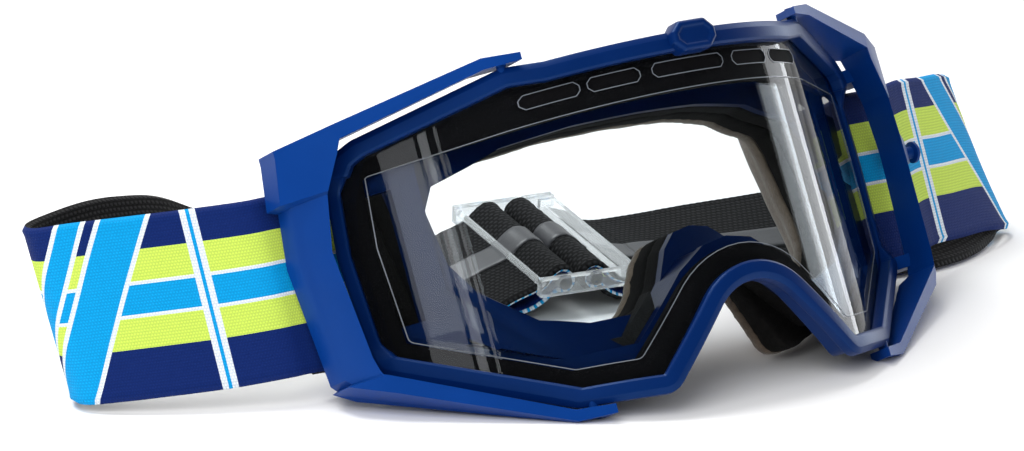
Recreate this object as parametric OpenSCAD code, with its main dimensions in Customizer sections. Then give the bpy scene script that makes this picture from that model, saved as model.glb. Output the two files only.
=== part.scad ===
// Motocross goggles with a clear vented lens, fixed strap arms, layered face foam
// and a printed elastic strap that is joined at the back by a clear adjuster.
//
// Two frames are used. The goggle frame has its origin on the front of the lens,
// on the centre line: X runs across the face, Y runs back towards the face and Z
// runs up along the lens. The standing frame has Z = 0 on the table: the goggles
// lean back in it and rest on the cheek foam and on the strap behind them.

/* [Lens] */
// Radius of the front of the lens about its upright axis
lens_r = 62; // [58:1:68]
// Angle from the middle at which the lens runs on straight to its sides
lens_wrap = 45; // [42:1:47]
// Thickness of the outer pane
outer_pane_t = 1.2; // [1:0.1:1.6]
// Thickness of the inner pane
inner_pane_t = 0.9; // [0.7:0.1:1.1]
// Thickness of the spacer between the panes
spacer_t = 1.9; // [1.5:0.1:2.3]
// Width of the spacer at the sides and below
spacer_w = 5; // [4:0.5:6]
// Height of the vent band across the top of the lens
vent_band_h = 8.6; // [8:0.2:10]
// Height of a vent slot
vent_slot_h = 3.2; // [2.4:0.2:3.6]
// How far the lens reaches under the rim
lens_lap = 1.8; // [1.4:0.1:2.2]

/* [Rim] */
// Half of the rim's width at its widest
rim_half_w = 78.6; // [76:0.2:80]
// Height of the top of the rim above the middle of the lens
rim_top_z = 38.6; // [37:0.2:40]
// Height of the crest of the rim beside the middle
rim_crest_z = 39.8; // [39:0.2:41]
// Depth of the lowest corners of the rim below the middle of the lens
rim_foot_z = 44; // [42:0.2:45]
// Height of the top of the nose arch, below the middle of the lens
arch_top_z = 22.3; // [20:0.2:24]
// Radius of the top of the nose arch
arch_r = 14; // [11:0.5:16]
// Width of the rim seen from the front
rim_band = 4.6; // [4:0.1:5.2]
// Thickness of the rim in front of the lens
rim_lip_t = 3.4; // [2.8:0.1:4]
// Width of the eight-sided tab on the top of the rim
tab_w = 12; // [10:0.5:14]
// How far the tab stands out in front of the rim
tab_out = 2.6; // [1.5:0.1:3.5]

/* [Face frame] */
// Wall thickness of the face frame
wall_t = 2.2; // [1.8:0.1:2.6]
// Half of the width across the side walls
wall_half_w = 59.5; // [57:0.5:60]
// Distance from the front of the lens to the back of the face foam on the centre line
face_y = 37; // [35:0.5:39]
// Radius of the wearer's face that the foam fits
face_r = 75; // [72:1:80]
// How far the face leans away from the lens towards the top
face_tilt = 15; // [12:1:17]
// Half of the width of the face opening
opening_half_w = 53; // [50:0.5:54]

/* [Face foam] */
// Thickness of the firm base layer
foam_base_t = 6; // [5:0.5:6.5]
// Thickness of the soft middle layer
foam_core_t = 6; // [5:0.5:6.5]
// Thickness of the fleece against the face
foam_fleece_t = 3; // [2:0.5:4]
// Half of the width across the two layers next to the face
foam_half_w = 62; // [60:0.5:63]

/* [Strap arms] */
// Width over the outer corners of the two arms
arm_span = 176; // [174:1:180]
// Width of the upright bar of an arm
bar_w = 10.2; // [8:0.2:10.4]
// Thickness of the upright bar of an arm
bar_t = 5; // [4:0.2:5.6]
// How far the bars bulge outwards at the middle
bar_bulge = 2.6; // [1.5:0.1:3.5]
// Height of the cross arms of a strap arm
arm_h = 2.8; // [2.4:0.1:3.2]
// Radius of the rod that the strap turns round
rod_r = 2; // [1.6:0.1:2.2]
// Radius of the pins that hold the arms to the rim
pin_r = 1.2; // [1:0.05:1.3]
// Length of the part of a pin that sits in the rim
pin_depth = 3; // [2:0.1:3.2]
// Radius of the shaft of the tear-off post
post_r = 1.6; // [1.3:0.1:1.8]
// Free length of the shaft of the tear-off post
post_l = 3.6; // [3:0.1:5]
// Radius of the head of the tear-off post
post_head_r = 2.7; // [2.3:0.1:3.2]

/* [Strap] */
// Width of the strap
strap_w = 43; // [40:0.5:44]
// Thickness of the strap
strap_t = 1.8; // [1.4:0.1:2]
// Width of the silicone grip line along the strap
grip_w = 9; // [6:0.5:12]
// Thickness of the silicone grip line
grip_t = 0.4; // [0.3:0.1:0.6]

/* [Adjuster] */
// Length of the adjuster along the strap
adjuster_l = 27.4; // [27:0.2:31]
// Thickness of the adjuster's side plates
adjuster_plate_t = 2.4; // [2:0.1:3]
// Radius of the adjuster's two bars
adjuster_bar_r = 1.7; // [1.4:0.1:1.8]
// Distance between the adjuster's two bars
adjuster_pitch = 8.6; // [8.4:0.1:9.4]

/* [Standing] */
// How far the goggles lean back
lean = 26; // [22:1:28]
// Height of the middle of the lens front above the table, along the table's own upright
stand_h = 46.8; // [46.6:0.1:50]

/* [Fits] */
// Gap between pieces that are assembled face to face
seat = 0.06; // [0.03:0.01:0.1]
// Radial clearance of pins and shafts in their holes
pin_clear = 0.04; // [0.02:0.01:0.08]
// Gap round the lens in the rim
lens_clear = 0.3; // [0.2:0.05:0.5]

/* [Hidden] */

blue = [0.03, 0.19, 0.56];
black = [0.04, 0.04, 0.045];
navy = [0.09, 0.12, 0.36];
fleece = [0.30, 0.27, 0.24];
clear = [0.85, 0.92, 0.96, 0.35];
grey = [0.35, 0.35, 0.36];

round_fn = 96;
small_fn = 40;
far = 400;

// The layers of the lens, measured back from its front surface
outer_back = outer_pane_t;
spacer_front = outer_back + seat;
spacer_back = spacer_front + spacer_t;
inner_front = spacer_back + seat;
inner_back = inner_front + inner_pane_t;
rim_back = inner_back + seat;
flange_front = rim_back + seat;
flange_back = flange_front + wall_t;

// The layers of the face foam, measured forward from the face
fleece_front = foam_fleece_t;
core_back = fleece_front + seat;
core_front = core_back + foam_core_t;
base_back = core_front + seat;
base_front = base_back + foam_base_t;
frame_back = base_front + seat;

// Depth of the lens surface at a distance x from the middle
function lens_y(x, off = 0) =
    let (r = lens_r - off, xe = r * sin(lens_wrap), ye = lens_r - r * cos(lens_wrap))
    abs(x) <= xe ? lens_r - sqrt(r * r - x * x) : ye + (abs(x) - xe) * tan(lens_wrap);

// A closed outline from its right half, listed from the bottom centre to the top centre
function whole(half) = concat(half, [for (i = [len(half) - 2:-1:1]) [-half[i][0], half[i][1]]]);

function unit(v) = v / norm(v);
function edge_normal(p, q) = let (d = unit(q - p)) [d[1], -d[0]];

// The outline moved outwards by d, with its corners kept sharp
function grow(pts, d) = [
    for (i = [0:len(pts) - 1])
        let (
            n = len(pts),
            a = edge_normal(pts[(i + n - 1) % n], pts[i]),
            b = edge_normal(pts[i], pts[(i + 1) % n])
        )
        pts[i] + (a + b) * d / (1 + a * b)
];

// Outline of the rim, right half, from the top of the nose arch
arch_turn = 46;
arch_steps = 6;
foot_x = 26;
low_corner_x = 45.5;
low_corner_z = -rim_foot_z + 2.4;
crest_x = 43;
rim_half = concat(
    [
        for (i = [0:arch_steps])
            let (t = arch_turn * i / arch_steps)
            [arch_r * sin(t), -arch_top_z - arch_r * (1 - cos(t))]
    ],
    [
        [foot_x, -rim_foot_z],
        [low_corner_x, low_corner_z],
        [rim_half_w - 1.4, -20.5],
        [rim_half_w, 8],
        [rim_half_w - 1.2, 27],
        [rim_half_w - 3.4, 31.4],
        [rim_half_w - 7.6, rim_top_z - 4.8],
        [crest_x, rim_crest_z],
        [35, rim_top_z],
        [0, rim_top_z]
    ]
);
rim_outline = whole(rim_half);
rim_skirt = grow(rim_outline, -1.2);
rim_side_t = 1.6;
lens_side_t = rim_side_t + lens_clear;
flange_side_t = 2.4;
lens_opening = grow(rim_outline, -rim_band);
lens_outline = grow(lens_opening, lens_lap);
lens_pocket = grow(lens_outline, lens_clear);
spacer_hole = grow(lens_opening, -spacer_w);

// Outline of the face frame's wall, right half
wall_half = [
    [0, -12.5], [6, -13.6], [12.5, -18], [26, -32.5], [42, -31.5], [wall_half_w - 3.5, -21],
    [wall_half_w, -14], [wall_half_w, 24], [wall_half_w - 2.5, 31], [42, rim_top_z - 2.3],
    [0, rim_top_z - 2.3]
];
wall_outline = whole(wall_half);
wall_inside = grow(wall_outline, -wall_t);

// Outline of the two foam layers next to the face, right half
foam_half = [
    [0, -12], [6, -13.2], [12.5, -19], [17.6, -35.6], [19.6, -36.6], [24, -36.6], [33, -33.8], [43, -30],
    [foam_half_w - 6, -19], [foam_half_w, -9], [foam_half_w, 21],
    [foam_half_w - 6, 31], [41, rim_top_z - 2.6], [0, rim_top_z - 2.6]
];
foam_outline = whole(foam_half);

// Outline of the face opening, right half, with the nose bridge at the bottom centre
face_half = [
    [0, -4], [5, -5], [9, -8.6], [13.5, -16], [18, -20.6], [23, -22.4], [33, -22], [42.5, -18.4],
    [opening_half_w - 3, -8], [opening_half_w, 0], [opening_half_w, 14],
    [opening_half_w - 3, 19.5], [36, 24.6], [18, 26], [0, 26.2]
];
face_outline = whole(face_half);

// Places of the vent slots: near and far end of each, from the middle outwards
slot_ends = [[-10, 10], [13.3, 25.5], [27.4, 39.6]];
slot_top_z = rim_top_z - rim_band - 1.6;

// The strap arms, all on the right side
arm_x = arm_span / 2;
arm_y = 50;
arm_top_z = 35.4;
arm_low_z = -20.6;
arm_crest_z = rim_crest_z + 0.3 + arm_h;
arm_foot_z = -rim_foot_z + 2.4 - 0.3 - arm_h;
arm_tip_x = 39.4;
pin_x = 42;
pin_y = lens_y(pin_x, -rim_lip_t / 2 - 0.3);
bar_in = arm_x - bar_w;
rod_x = 69.5;
rod_y = 61.5;
rib_h = 3.2;
strap_top = 27;
strap_mid = strap_top - strap_w / 2;
strap_low = strap_top - strap_w;
rib_gap = 0.8;
end_x = 92;
end_y = 58;
post_z = 8.6;
post_peg = 3;

// The middle of the whole object on the table, as seen from the goggle frame's foot
mid_x = 1.968;
mid_y = 51.258;

// Where the adjuster lies on the table, and how it is turned and tilted there
adjuster_at = [9.6 - mid_x, 91.8 - mid_y, 12.8];
adjuster_turn = -7.2;
adjuster_tilt = 9.7;
adjuster_w = strap_w + 2 * adjuster_plate_t + 2;
loop_in = adjuster_bar_r + 0.3;
loop_out = loop_in + strap_t;
loop_end_x = 26;
loop_end_z = -7.2;

// A point of the adjuster's own frame in the standing frame
function on_adjuster(p) =
    let (
        ty = p[1] * cos(adjuster_tilt) - p[2] * sin(adjuster_tilt),
        tz = p[1] * sin(adjuster_tilt) + p[2] * cos(adjuster_tilt),
        ca = cos(adjuster_turn), sa = sin(adjuster_turn)
    )
    adjuster_at + [p[0] * ca - ty * sa, p[0] * sa + ty * ca, tz];

// Lower and upper edge of the strap's left half on the table, from the arm round
// the fold to the adjuster, measured from the goggle frame's foot
left_low = [
    [-104.3, 50.5, 5.4], [-116, 57, 4.1], [-126, 63.8, 2.8], [-132.5, 70.3, 1.7], [-131.5, 77.5, 1.1],
    [-125, 82.5, 1], [-113, 86.5, 1], [-101, 88, 1], [-88, 87, 1], [-72, 84, 1.1], [-54, 80.5, 1.3],
    [-36, 77.7, 1.9]
];
left_up = [
    [-103.5, 69.8, 44.4], [-116, 76.5, 43.2], [-127.5, 83.3, 42], [-134, 89.5, 40.5], [-132.5, 96.5, 39.8],
    [-125, 101, 39.9], [-112.5, 104.6, 40.4], [-101, 108, 39.3], [-87.5, 112, 36.3], [-71, 117.5, 28.5],
    [-51, 119.6, 19], [-31.5, 118.9, 13]
];
right_low = [
    [101.5, 50.2, 6.9], [113, 54.5, 5.8], [124, 59, 4.8], [131.5, 62.3, 3.4], [137, 66, 2], [138.2, 68.6, 1.4],
    [135.5, 68, 1], [129, 62, 1], [120, 55.6, 1], [110, 51.2, 1], [97, 49.6, 1], [78, 53, 1],
    [58, 59.6, 1.4], [46, 64.4, 2]
];
right_up = [
    [102.5, 68.3, 45.6], [113.5, 73, 44], [122.5, 77.5, 42.7], [129, 82, 40.6], [131.5, 88.5, 38.2],
    [130.5, 93, 36.3], [127, 97, 33.5], [121, 98, 29.5], [113.5, 97, 23.4], [104, 94.7, 18.5],
    [92.5, 92.8, 15.2], [76.5, 95.2, 14.4], [59.5, 101.5, 12.8], [49.5, 106.5, 11.2]
];
ribbon_steps = 5;

// Solids that lean with the goggles
module leaned() {
    translate([-mid_x, -mid_y, stand_h]) rotate([-lean, 0, 0]) children();
}

// A point of the goggle frame in the standing frame
function stood(p) = [
    p[0] - mid_x,
    p[1] * cos(lean) + p[2] * sin(lean) - mid_y,
    -p[1] * sin(lean) + p[2] * cos(lean) + stand_h
];

// Everything seen inside an outline from the front
module front_prism(pts) {
    translate([0, far / 2, 0]) rotate([90, 0, 0]) linear_extrude(far) polygon(pts);
}

// A ring between two outlines, seen from the front
module front_ring(outside, inside) {
    difference() {
        front_prism(outside);
        front_prism(inside);
    }
}

// The plan area behind the lens surface at an offset
module behind_lens(off) {
    r = lens_r - off;
    xe = r * sin(lens_wrap);
    ye = lens_r - r * cos(lens_wrap);
    translate([0, lens_r]) circle(r, $fn = round_fn);
    polygon([
        [xe, ye], [xe + far / 2, ye + far / 2 * tan(lens_wrap)],
        [-xe - far / 2, ye + far / 2 * tan(lens_wrap)], [-xe, ye]
    ]);
}

// A curved layer between two offsets of the lens surface
module lens_layer(front, back) {
    translate([0, 0, -far / 4]) linear_extrude(far / 2) difference() {
        behind_lens(front);
        behind_lens(back);
    }
}

// Everything behind, or in front of, the lens surface at an offset
module behind_front(off) {
    translate([0, 0, -far / 4]) linear_extrude(far / 2) behind_lens(off);
}

// Everything behind the straight sides of the lens surface at an offset
module behind_sides(off) {
    y0 = lens_r - (lens_r - off) / cos(lens_wrap);
    translate([0, 0, -far / 4]) linear_extrude(far / 2)
        polygon([[0, y0], [far / 2, y0 + far / 2 * tan(lens_wrap)], [-far / 2, y0 + far / 2 * tan(lens_wrap)]]);
}

module before_front(off) {
    translate([0, 0, -far / 4]) linear_extrude(far / 2) difference() {
        translate([-far / 2, -far / 2]) square(far);
        behind_lens(off);
    }
}

// Everything in front of the face, less a gap
module before_face(gap) {
    translate([0, face_y, 0]) rotate([-face_tilt, 0, 0]) translate([0, 0, -far / 4])
        linear_extrude(far / 2) difference() {
            translate([-far / 4, -far / 4]) square([far / 2, far / 4 + 50]);
            translate([0, face_r]) circle(face_r + gap, $fn = round_fn);
            translate([-far / 4, face_r]) square(far / 2);
        }
}

// A curved layer between two gaps from the face
module face_layer(back_gap, front_gap) {
    difference() {
        before_face(back_gap);
        before_face(front_gap);
    }
}

// Everything inside two planes square to the lens at its two sides. They meet the
// front corners of the rim where inset is 0
module side_trim(inset) {
    k = rim_half_w * cos(lens_wrap) + lens_y(rim_half_w, -rim_lip_t) * sin(lens_wrap) - inset;
    wide = (k + far * sin(lens_wrap)) / cos(lens_wrap);
    translate([0, 0, -far / 2]) linear_extrude(far) polygon([[0, k / sin(lens_wrap)], [-wide, -far], [wide, -far]]);
}

module slot_shape(x0, x1) {
    c = vent_slot_h * 0.32;
    z0 = slot_top_z - vent_slot_h;
    front_prism([
        [x0 + c, z0], [x1 - c, z0], [x1, z0 + c], [x1, slot_top_z - c],
        [x1 - c, slot_top_z], [x0 + c, slot_top_z], [x0, slot_top_z - c], [x0, z0 + c]
    ]);
}

module vent_slots() {
    slot_shape(slot_ends[0][0], slot_ends[0][1]);
    for (s = [-1, 1])
        for (i = [1, 2])
            slot_shape(min(s * slot_ends[i][0], s * slot_ends[i][1]), max(s * slot_ends[i][0], s * slot_ends[i][1]));
}

// Holes for the arm pins, above and below the rim
module pin_holes(r) {
    for (s = [-1, 1])
        translate([s * pin_x, pin_y, 0]) {
            translate([0, 0, rim_crest_z - pin_depth - 0.2]) cylinder(h = far / 8, r = r, $fn = small_fn);
            translate([0, 0, low_corner_z + pin_depth + 0.2 - far / 8]) cylinder(h = far / 8, r = r, $fn = small_fn);
        }
}

// The moulded rim round the lens, with its eight-sided tab
module front_rim() {
    tab_low = rim_top_z - 5.6;
    tab_high = rim_top_z + 1.8;
    tab_c = tab_w * 0.2;
    color(blue) leaned() difference() {
        union() {
            intersection() {
                lens_layer(-rim_lip_t, 0);
                front_ring(rim_outline, lens_opening);
                side_trim(0);
            }
            difference() {
                intersection() {
                    lens_layer(-seat, rim_back);
                    front_prism(rim_skirt);
                    side_trim(0);
                }
                intersection() {
                    front_prism(lens_pocket);
                    side_trim(rim_side_t);
                }
            }
            intersection() {
                lens_layer(-rim_lip_t - tab_out, 0);
                front_prism(whole([
                    [0, tab_low], [tab_w / 2 - tab_c, tab_low], [tab_w / 2, tab_low + tab_c],
                    [tab_w / 2, tab_high - tab_c], [tab_w / 2 - tab_c, tab_high], [0, tab_high]
                ]));
            }
        }
        pin_holes(pin_r + pin_clear);
        below_table();
    }
}

// The inner frame: front flange, side walls, back flange, vents and stiffening ribs
module face_frame() {
    window_low = -11;
    window_high = 21;
    color(blue) leaned() difference() {
        union() {
            intersection() {
                lens_layer(flange_front, flange_back);
                front_ring(grow(rim_outline, -2.4), grow(wall_inside, -0.3));
                side_trim(flange_side_t);
            }
            difference() {
                intersection() {
                    front_ring(wall_outline, wall_inside);
                    before_face(frame_back + wall_t / 2);
                }
                before_front(flange_front + wall_t / 2);
            }
            intersection() {
                face_layer(frame_back, frame_back + wall_t);
                front_ring(grow(wall_outline, 0.3), face_outline);
                behind_sides(flange_front + 0.5);
            }
        }
        below_table();
        // Open windows in the sides, in front of the strap
        for (s = [-1, 1])
            translate([s * (wall_half_w + 6.6), 0, (window_low + window_high) / 2])
                cube([8, far / 2, window_high - window_low], center = true);
        // Vents through the top wall
        for (i = [-1, 0, 1])
            translate([i * 25 - 10, lens_y(abs(i) * 25 + 10) + 8.6, rim_top_z - far / 32])
                cube([20, 6.5, far / 16]);
        // Vents through the low walls
        for (s = [-1, 1])
            translate([s * 29 - 5, lens_y(34) + 8.6, -rim_foot_z]) cube([10, 4, far / 24]);
    }
}

module lens_outer() {
    color(clear) leaned() difference() {
        intersection() {
            lens_layer(seat, outer_back);
            front_prism(lens_outline);
            side_trim(lens_side_t);
        }
        vent_slots();
    }
}

module lens_inner() {
    color(clear) leaned() intersection() {
        lens_layer(inner_front, inner_back);
        front_prism(grow(lens_opening, lens_lap / 2));
        side_trim(lens_side_t);
        translate([-far / 4, -far / 4, -far / 4]) cube([far / 2, far / 2, far / 4 + rim_top_z - rim_band - 1]);
    }
}

// The black foam spacer between the panes, deeper across the vents
module lens_spacer() {
    band_z = rim_top_z - rim_band - vent_band_h;
    color(black) leaned() intersection() {
        lens_layer(spacer_front, spacer_back);
        side_trim(lens_side_t);
        difference() {
            front_prism(grow(lens_opening, lens_lap));
            intersection() {
                front_prism(spacer_hole);
                translate([-far / 4, -far / 4, -far / 4]) cube([far / 2, far / 2, far / 4 + band_z]);
            }
        }
    }
}

// A strip of filter foam inside the wall, between two heights and two widths
module wall_foam(z0, z1, x0, x1) {
    intersection() {
        front_ring(grow(wall_inside, -seat), grow(wall_inside, -3));
        translate([x0, -far / 4, z0]) cube([x1 - x0, far / 2, z1 - z0]);
        before_face(frame_back + wall_t + 0.3);
        behind_front(flange_back + 1);
    }
}

module vent_foam_top() {
    color(black) leaned() wall_foam(20, rim_top_z, -50, 50);
}

module vent_foam_low(s) {
    color(black) leaned() wall_foam(-rim_foot_z, -18, min(s * 20, s * 50), max(s * 20, s * 50));
}

module face_foam(back_gap, front_gap, outside, clear_of) {
    leaned() intersection() {
        behind_front(clear_of);
        face_layer(back_gap, front_gap);
        front_ring(outside, face_outline);
    }
}

module face_foam_base() {
    color(black) face_foam(base_back, base_front, wall_outline, flange_back + seat);
}

module face_foam_core() {
    color(black) face_foam(core_back, core_front, foam_outline, flange_back + seat);
}

module face_foam_fleece() {
    color(fleece) face_foam(0, fleece_front, foam_outline, flange_back + seat);
}

// Front view of one strap arm: two cross arms and the bent bar
module arm_front() {
    bulge_z = post_z;
    polygon([
        [arm_tip_x, arm_crest_z - arm_h], [47, arm_crest_z - arm_h], [bar_in - 1, arm_top_z - arm_h + 1],
        [bar_in, arm_top_z - arm_h - 2],
        [bar_in + bar_bulge, bulge_z], [bar_in + 0.6, arm_low_z + arm_h], [bar_in - 0.2, arm_low_z - 1.6],
        [47, arm_foot_z + arm_h], [arm_tip_x, arm_foot_z + arm_h - 1],
        [arm_tip_x, arm_foot_z - 0.4], [47, arm_foot_z],
        [arm_x - 1, arm_low_z - 1.4], [arm_x, arm_low_z], [arm_x + 0.4, arm_low_z + 4],
        [arm_x + bar_bulge, bulge_z], [arm_x, arm_top_z - 2], [arm_x, arm_top_z],
        [47, arm_crest_z], [arm_tip_x, arm_crest_z - 1]
    ]);
}

// Plan view of one strap arm
module arm_plan() {
    polygon([
        [arm_tip_x - 1, 7.4], [47, 13.4], [bar_in, arm_y - 7.6], [arm_x + 4, arm_y - 0.6],
        [arm_x + 4, arm_y + bar_t], [bar_in - 3, arm_y + bar_t - 1.4], [52, 25.4], [arm_tip_x - 1, 15.4]
    ]);
}

// The two ribs that carry the rod behind the bar
module arm_ribs() {
    plan = [
        [arm_x, arm_y], [arm_x - 0.8, arm_y + bar_t], [arm_x - 2.8, 58.4], [rod_x + 3, rod_y + 4], [rod_x - 3, rod_y + 4.2],
        [rod_x - 4, rod_y], [rod_x - 3, rod_y - 2.2], [rod_x + 4, rod_y - 4.4], [arm_x - 7.6, arm_y]
    ];
    for (z = [strap_top + rib_gap, strap_low - rib_gap - rib_h])
        translate([0, 0, z]) linear_extrude(rib_h) polygon(plan);
}

module outrigger() {
    difference() {
        union() {
            intersection() {
                translate([0, far / 2, 0]) rotate([90, 0, 0]) linear_extrude(far) arm_front();
                translate([0, 0, -far / 4]) linear_extrude(far / 2) arm_plan();
            }
            arm_ribs();
            translate([rod_x, rod_y, strap_low - rib_gap - 1])
                cylinder(h = strap_w + 2 * rib_gap + 2, r = rod_r, $fn = small_fn);
        }
        translate([pin_x, pin_y, -far / 4]) cylinder(h = far / 2, r = pin_r + pin_clear, $fn = small_fn);
        below_table();
    }
}

// Everything under the table top, seen from the goggle frame
module below_table() {
    rotate([lean, 0, 0]) translate([-far / 2, -far / 2, -far / 2 - stand_h]) cube([far, far, far / 2]);
}

module outrigger_left() {
    color(blue) leaned() mirror([1, 0, 0]) outrigger();
}

module outrigger_right() {
    color(blue) leaned() difference() {
        outrigger();
        post_place() translate([0, 0, -post_peg - seat]) cylinder(h = post_peg + 1, r = post_r * 0.7 + pin_clear, $fn = small_fn);
    }
}

// The two pins that one arm turns on, above and below the rim
module outrigger_pins(s) {
    color(blue) leaned() translate([s * pin_x, pin_y, 0]) {
        translate([0, 0, rim_crest_z - pin_depth])
            cylinder(h = arm_crest_z - 0.4 - rim_crest_z + pin_depth, r = pin_r, $fn = small_fn);
        translate([0, 0, arm_foot_z + 0.8])
            cylinder(h = low_corner_z + pin_depth - arm_foot_z - 0.8, r = pin_r, $fn = small_fn);
    }
}

// Place of the tear-off post on the outside of the right bar
module post_place() {
    translate([arm_x + bar_bulge, arm_y + bar_t / 2, post_z]) rotate([0, 90, 0]) children();
}

module tear_off_post() {
    color(blue) leaned() post_place() rotate_extrude($fn = small_fn) polygon([
        [0, -post_peg], [post_r * 0.7, -post_peg], [post_r * 0.7, seat], [post_r, seat], [post_r, post_l],
        [post_head_r, post_l + 0.3], [post_head_r, post_l + 1], [post_head_r * 0.6, post_l + 2], [0, post_l + 2]
    ]);
}

// The sewn end of the strap, looped round the rod
module strap_end(s) {
    inner_r = rod_r + 0.2;
    outer_r = inner_r + strap_t;
    sewn_x = end_x - 10;
    color(navy) leaned() mirror([s < 0 ? 1 : 0, 0, 0]) translate([0, 0, strap_low]) linear_extrude(strap_w) difference() {
        union() {
            translate([rod_x, rod_y]) circle(outer_r, $fn = small_fn);
            polygon([[rod_x, rod_y - outer_r], [end_x, end_y - strap_t], [end_x, end_y + strap_t], [rod_x, rod_y + outer_r]]);
        }
        translate([rod_x, rod_y]) circle(inner_r, $fn = small_fn);
        polygon([[rod_x, rod_y - inner_r], [sewn_x, end_y - 0.2], [sewn_x, end_y + 0.2], [rod_x, rod_y + inner_r]]);
    }
}

// A smooth curve through points, with the given steps between each two
function pick(p, i) = p[max(0, min(len(p) - 1, i))];
function smooth(p, steps) = concat(
    [
        for (i = [0:len(p) - 2])
            for (k = [0:steps - 1])
                let (
                    t = k / steps,
                    a = pick(p, i - 1), b = p[i], c = p[i + 1], d = pick(p, i + 2)
                )
                0.5 * (2 * b + (c - a) * t + (2 * a - 5 * b + 4 * c - d) * t * t + (3 * b - a - 3 * c + d) * t * t * t)
    ],
    [p[len(p) - 1]]
);

// A ribbon between a lower and an upper edge. from_w and to_w give the part of its
// width that it fills, and lift moves it off its middle surface along its normal
module ribbon(low, up, from_w, to_w, thick, lift) {
    n = len(low);
    function at(i) =
        let (
            h = max(0, i - 1), j = min(n - 1, i + 1),
            w = unit(up[i] - low[i]),
            run = unit((low[j] + up[j]) - (low[h] + up[h])),
            m = unit(cross(run, w)),
            base = low[i] + (up[i] - low[i]) * from_w,
            top = low[i] + (up[i] - low[i]) * to_w
        )
        [
            base + m * (lift - thick / 2), base + m * (lift + thick / 2),
            top + m * (lift + thick / 2), top + m * (lift - thick / 2)
        ];
    pts = [for (i = [0:n - 1]) each at(i)];
    sides = [
        for (i = [0:n - 2])
            for (k = [0:3])
                let (a = 4 * i + k, b = 4 * i + (k + 1) % 4)
                each [[a, b, b + 4], [a, b + 4, a + 4]]
    ];
    last = 4 * (n - 1);
    ends = [[0, 3, 2], [0, 2, 1], [last, last + 1, last + 2], [last, last + 2, last + 3]];
    polyhedron(pts, concat(sides, ends));
}

// The strap leaves the sewn end just outside the arm and joins the loop at the adjuster
function on_table(pts) = [for (p = pts) p - [mid_x, mid_y, 0]];
function strap_edge(s, mid, side) = smooth(
    concat(
        [stood([s * (end_x + 0.7), end_y, side < 0 ? strap_low : strap_top])],
        on_table(mid),
        [
            for (x = [loop_end_x + 5, loop_end_x + 0.3])
                on_adjuster([s * x, side * strap_w / 2, loop_end_z + strap_t / 2])
        ]
    ),
    ribbon_steps
);
left_low_curve = strap_edge(-1, left_low, -1);
left_up_curve = strap_edge(-1, left_up, 1);
right_low_curve = strap_edge(1, right_low, -1);
right_up_curve = strap_edge(1, right_up, 1);

module strap_left() {
    color(navy) ribbon(left_low_curve, left_up_curve, 0, 1, strap_t, 0);
}

module strap_right() {
    color(navy) mirror([1, 0, 0])
        ribbon([for (p = right_low_curve) [-p[0], p[1], p[2]]], [for (p = right_up_curve) [-p[0], p[1], p[2]]], 0, 1, strap_t, 0);
}

// The last stretch of a curve, for the silicone line on the part behind the goggles
function tail(c, count) = [for (i = [len(c) - count:len(c) - 1]) c[i]];
grip_stations = 44;
grip_share = grip_w / strap_w / 2;

module strap_grip_left() {
    color(grey) ribbon(tail(left_low_curve, grip_stations), tail(left_up_curve, grip_stations),
        0.5 - grip_share, 0.5 + grip_share, grip_t, strap_t / 2 + grip_t / 2 + seat);
}

module strap_grip_right() {
    low = [for (p = tail(right_low_curve, grip_stations)) [-p[0], p[1], p[2]]];
    up = [for (p = tail(right_up_curve, grip_stations)) [-p[0], p[1], p[2]]];
    color(grey) mirror([1, 0, 0])
        ribbon(low, up, 0.5 - grip_share, 0.5 + grip_share, grip_t, strap_t / 2 + grip_t / 2 + seat);
}

// Solids on the adjuster's own frame: X along the strap, Y across it
module adjusted() {
    translate(adjuster_at) rotate([0, 0, adjuster_turn]) rotate([adjuster_tilt, 0, 0]) children();
}

// The clear adjuster: two side plates, two bars, a thin bar and a broad end plate
module strap_adjuster() {
    side_y = adjuster_w / 2 - adjuster_plate_t;
    thin_x = -10.9;
    end_x0 = thin_x - 0.9;
    plate_w = 4.6;
    plate_h = 2.2;
    color(clear) adjusted() {
        for (s = [-1, 1])
            translate([end_x0, s < 0 ? -side_y - adjuster_plate_t : side_y, -plate_h])
                cube([adjuster_l, adjuster_plate_t, 2 * plate_h]);
        for (s = [-1, 1])
            translate([s * adjuster_pitch / 2, side_y + 0.1, 0]) rotate([90, 0, 0])
                cylinder(h = 2 * side_y + 0.2, r = adjuster_bar_r, $fn = small_fn);
        translate([thin_x, side_y + 0.1, 0.8]) rotate([90, 0, 0])
            cylinder(h = 2 * side_y + 0.2, r = 0.9, $fn = small_fn);
        translate([end_x0 + adjuster_l - plate_w, -side_y - 0.1, -0.6]) cube([plate_w, 2 * side_y + 0.2, 2.4]);
    }
}

// Points of an arc between two angles
function arc(x, z, r, a0, a1, count) = [
    for (i = [0:count]) let (a = a0 + (a1 - a0) * i / count) [x + r * cos(a), z + r * sin(a)]
];

// The strap's end turned over one bar: its two layers run down to the table
module strap_loop(s) {
    x = -adjuster_pitch / 2;
    outside = concat(
        arc(x, 0, loop_out, -110, 158, 16),
        [
            [-9.4, -0.9], [-12, -1.6], [-loop_end_x, loop_end_z + strap_t],
            [-loop_end_x, loop_end_z - strap_t], [-10, -7.1]
        ]
    );
    inside = concat(
        arc(x, 0, loop_in, -110, 165, 14),
        [
            [-9.9, -2.8], [-12.2, -3.6], [-loop_end_x + 6, loop_end_z + 0.2],
            [-loop_end_x + 6, loop_end_z - 0.1], [-10.3, -5.4]
        ]
    );
    color(navy) adjusted() mirror([s < 0 ? 0 : 1, 0, 0]) translate([0, strap_w / 2, 0]) rotate([90, 0, 0])
        linear_extrude(strap_w) difference() {
            polygon(outside);
            polygon(inside);
        }
}

module strap_loop_left() {
    strap_loop(-1);
}

module strap_loop_right() {
    strap_loop(1);
}

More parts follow.
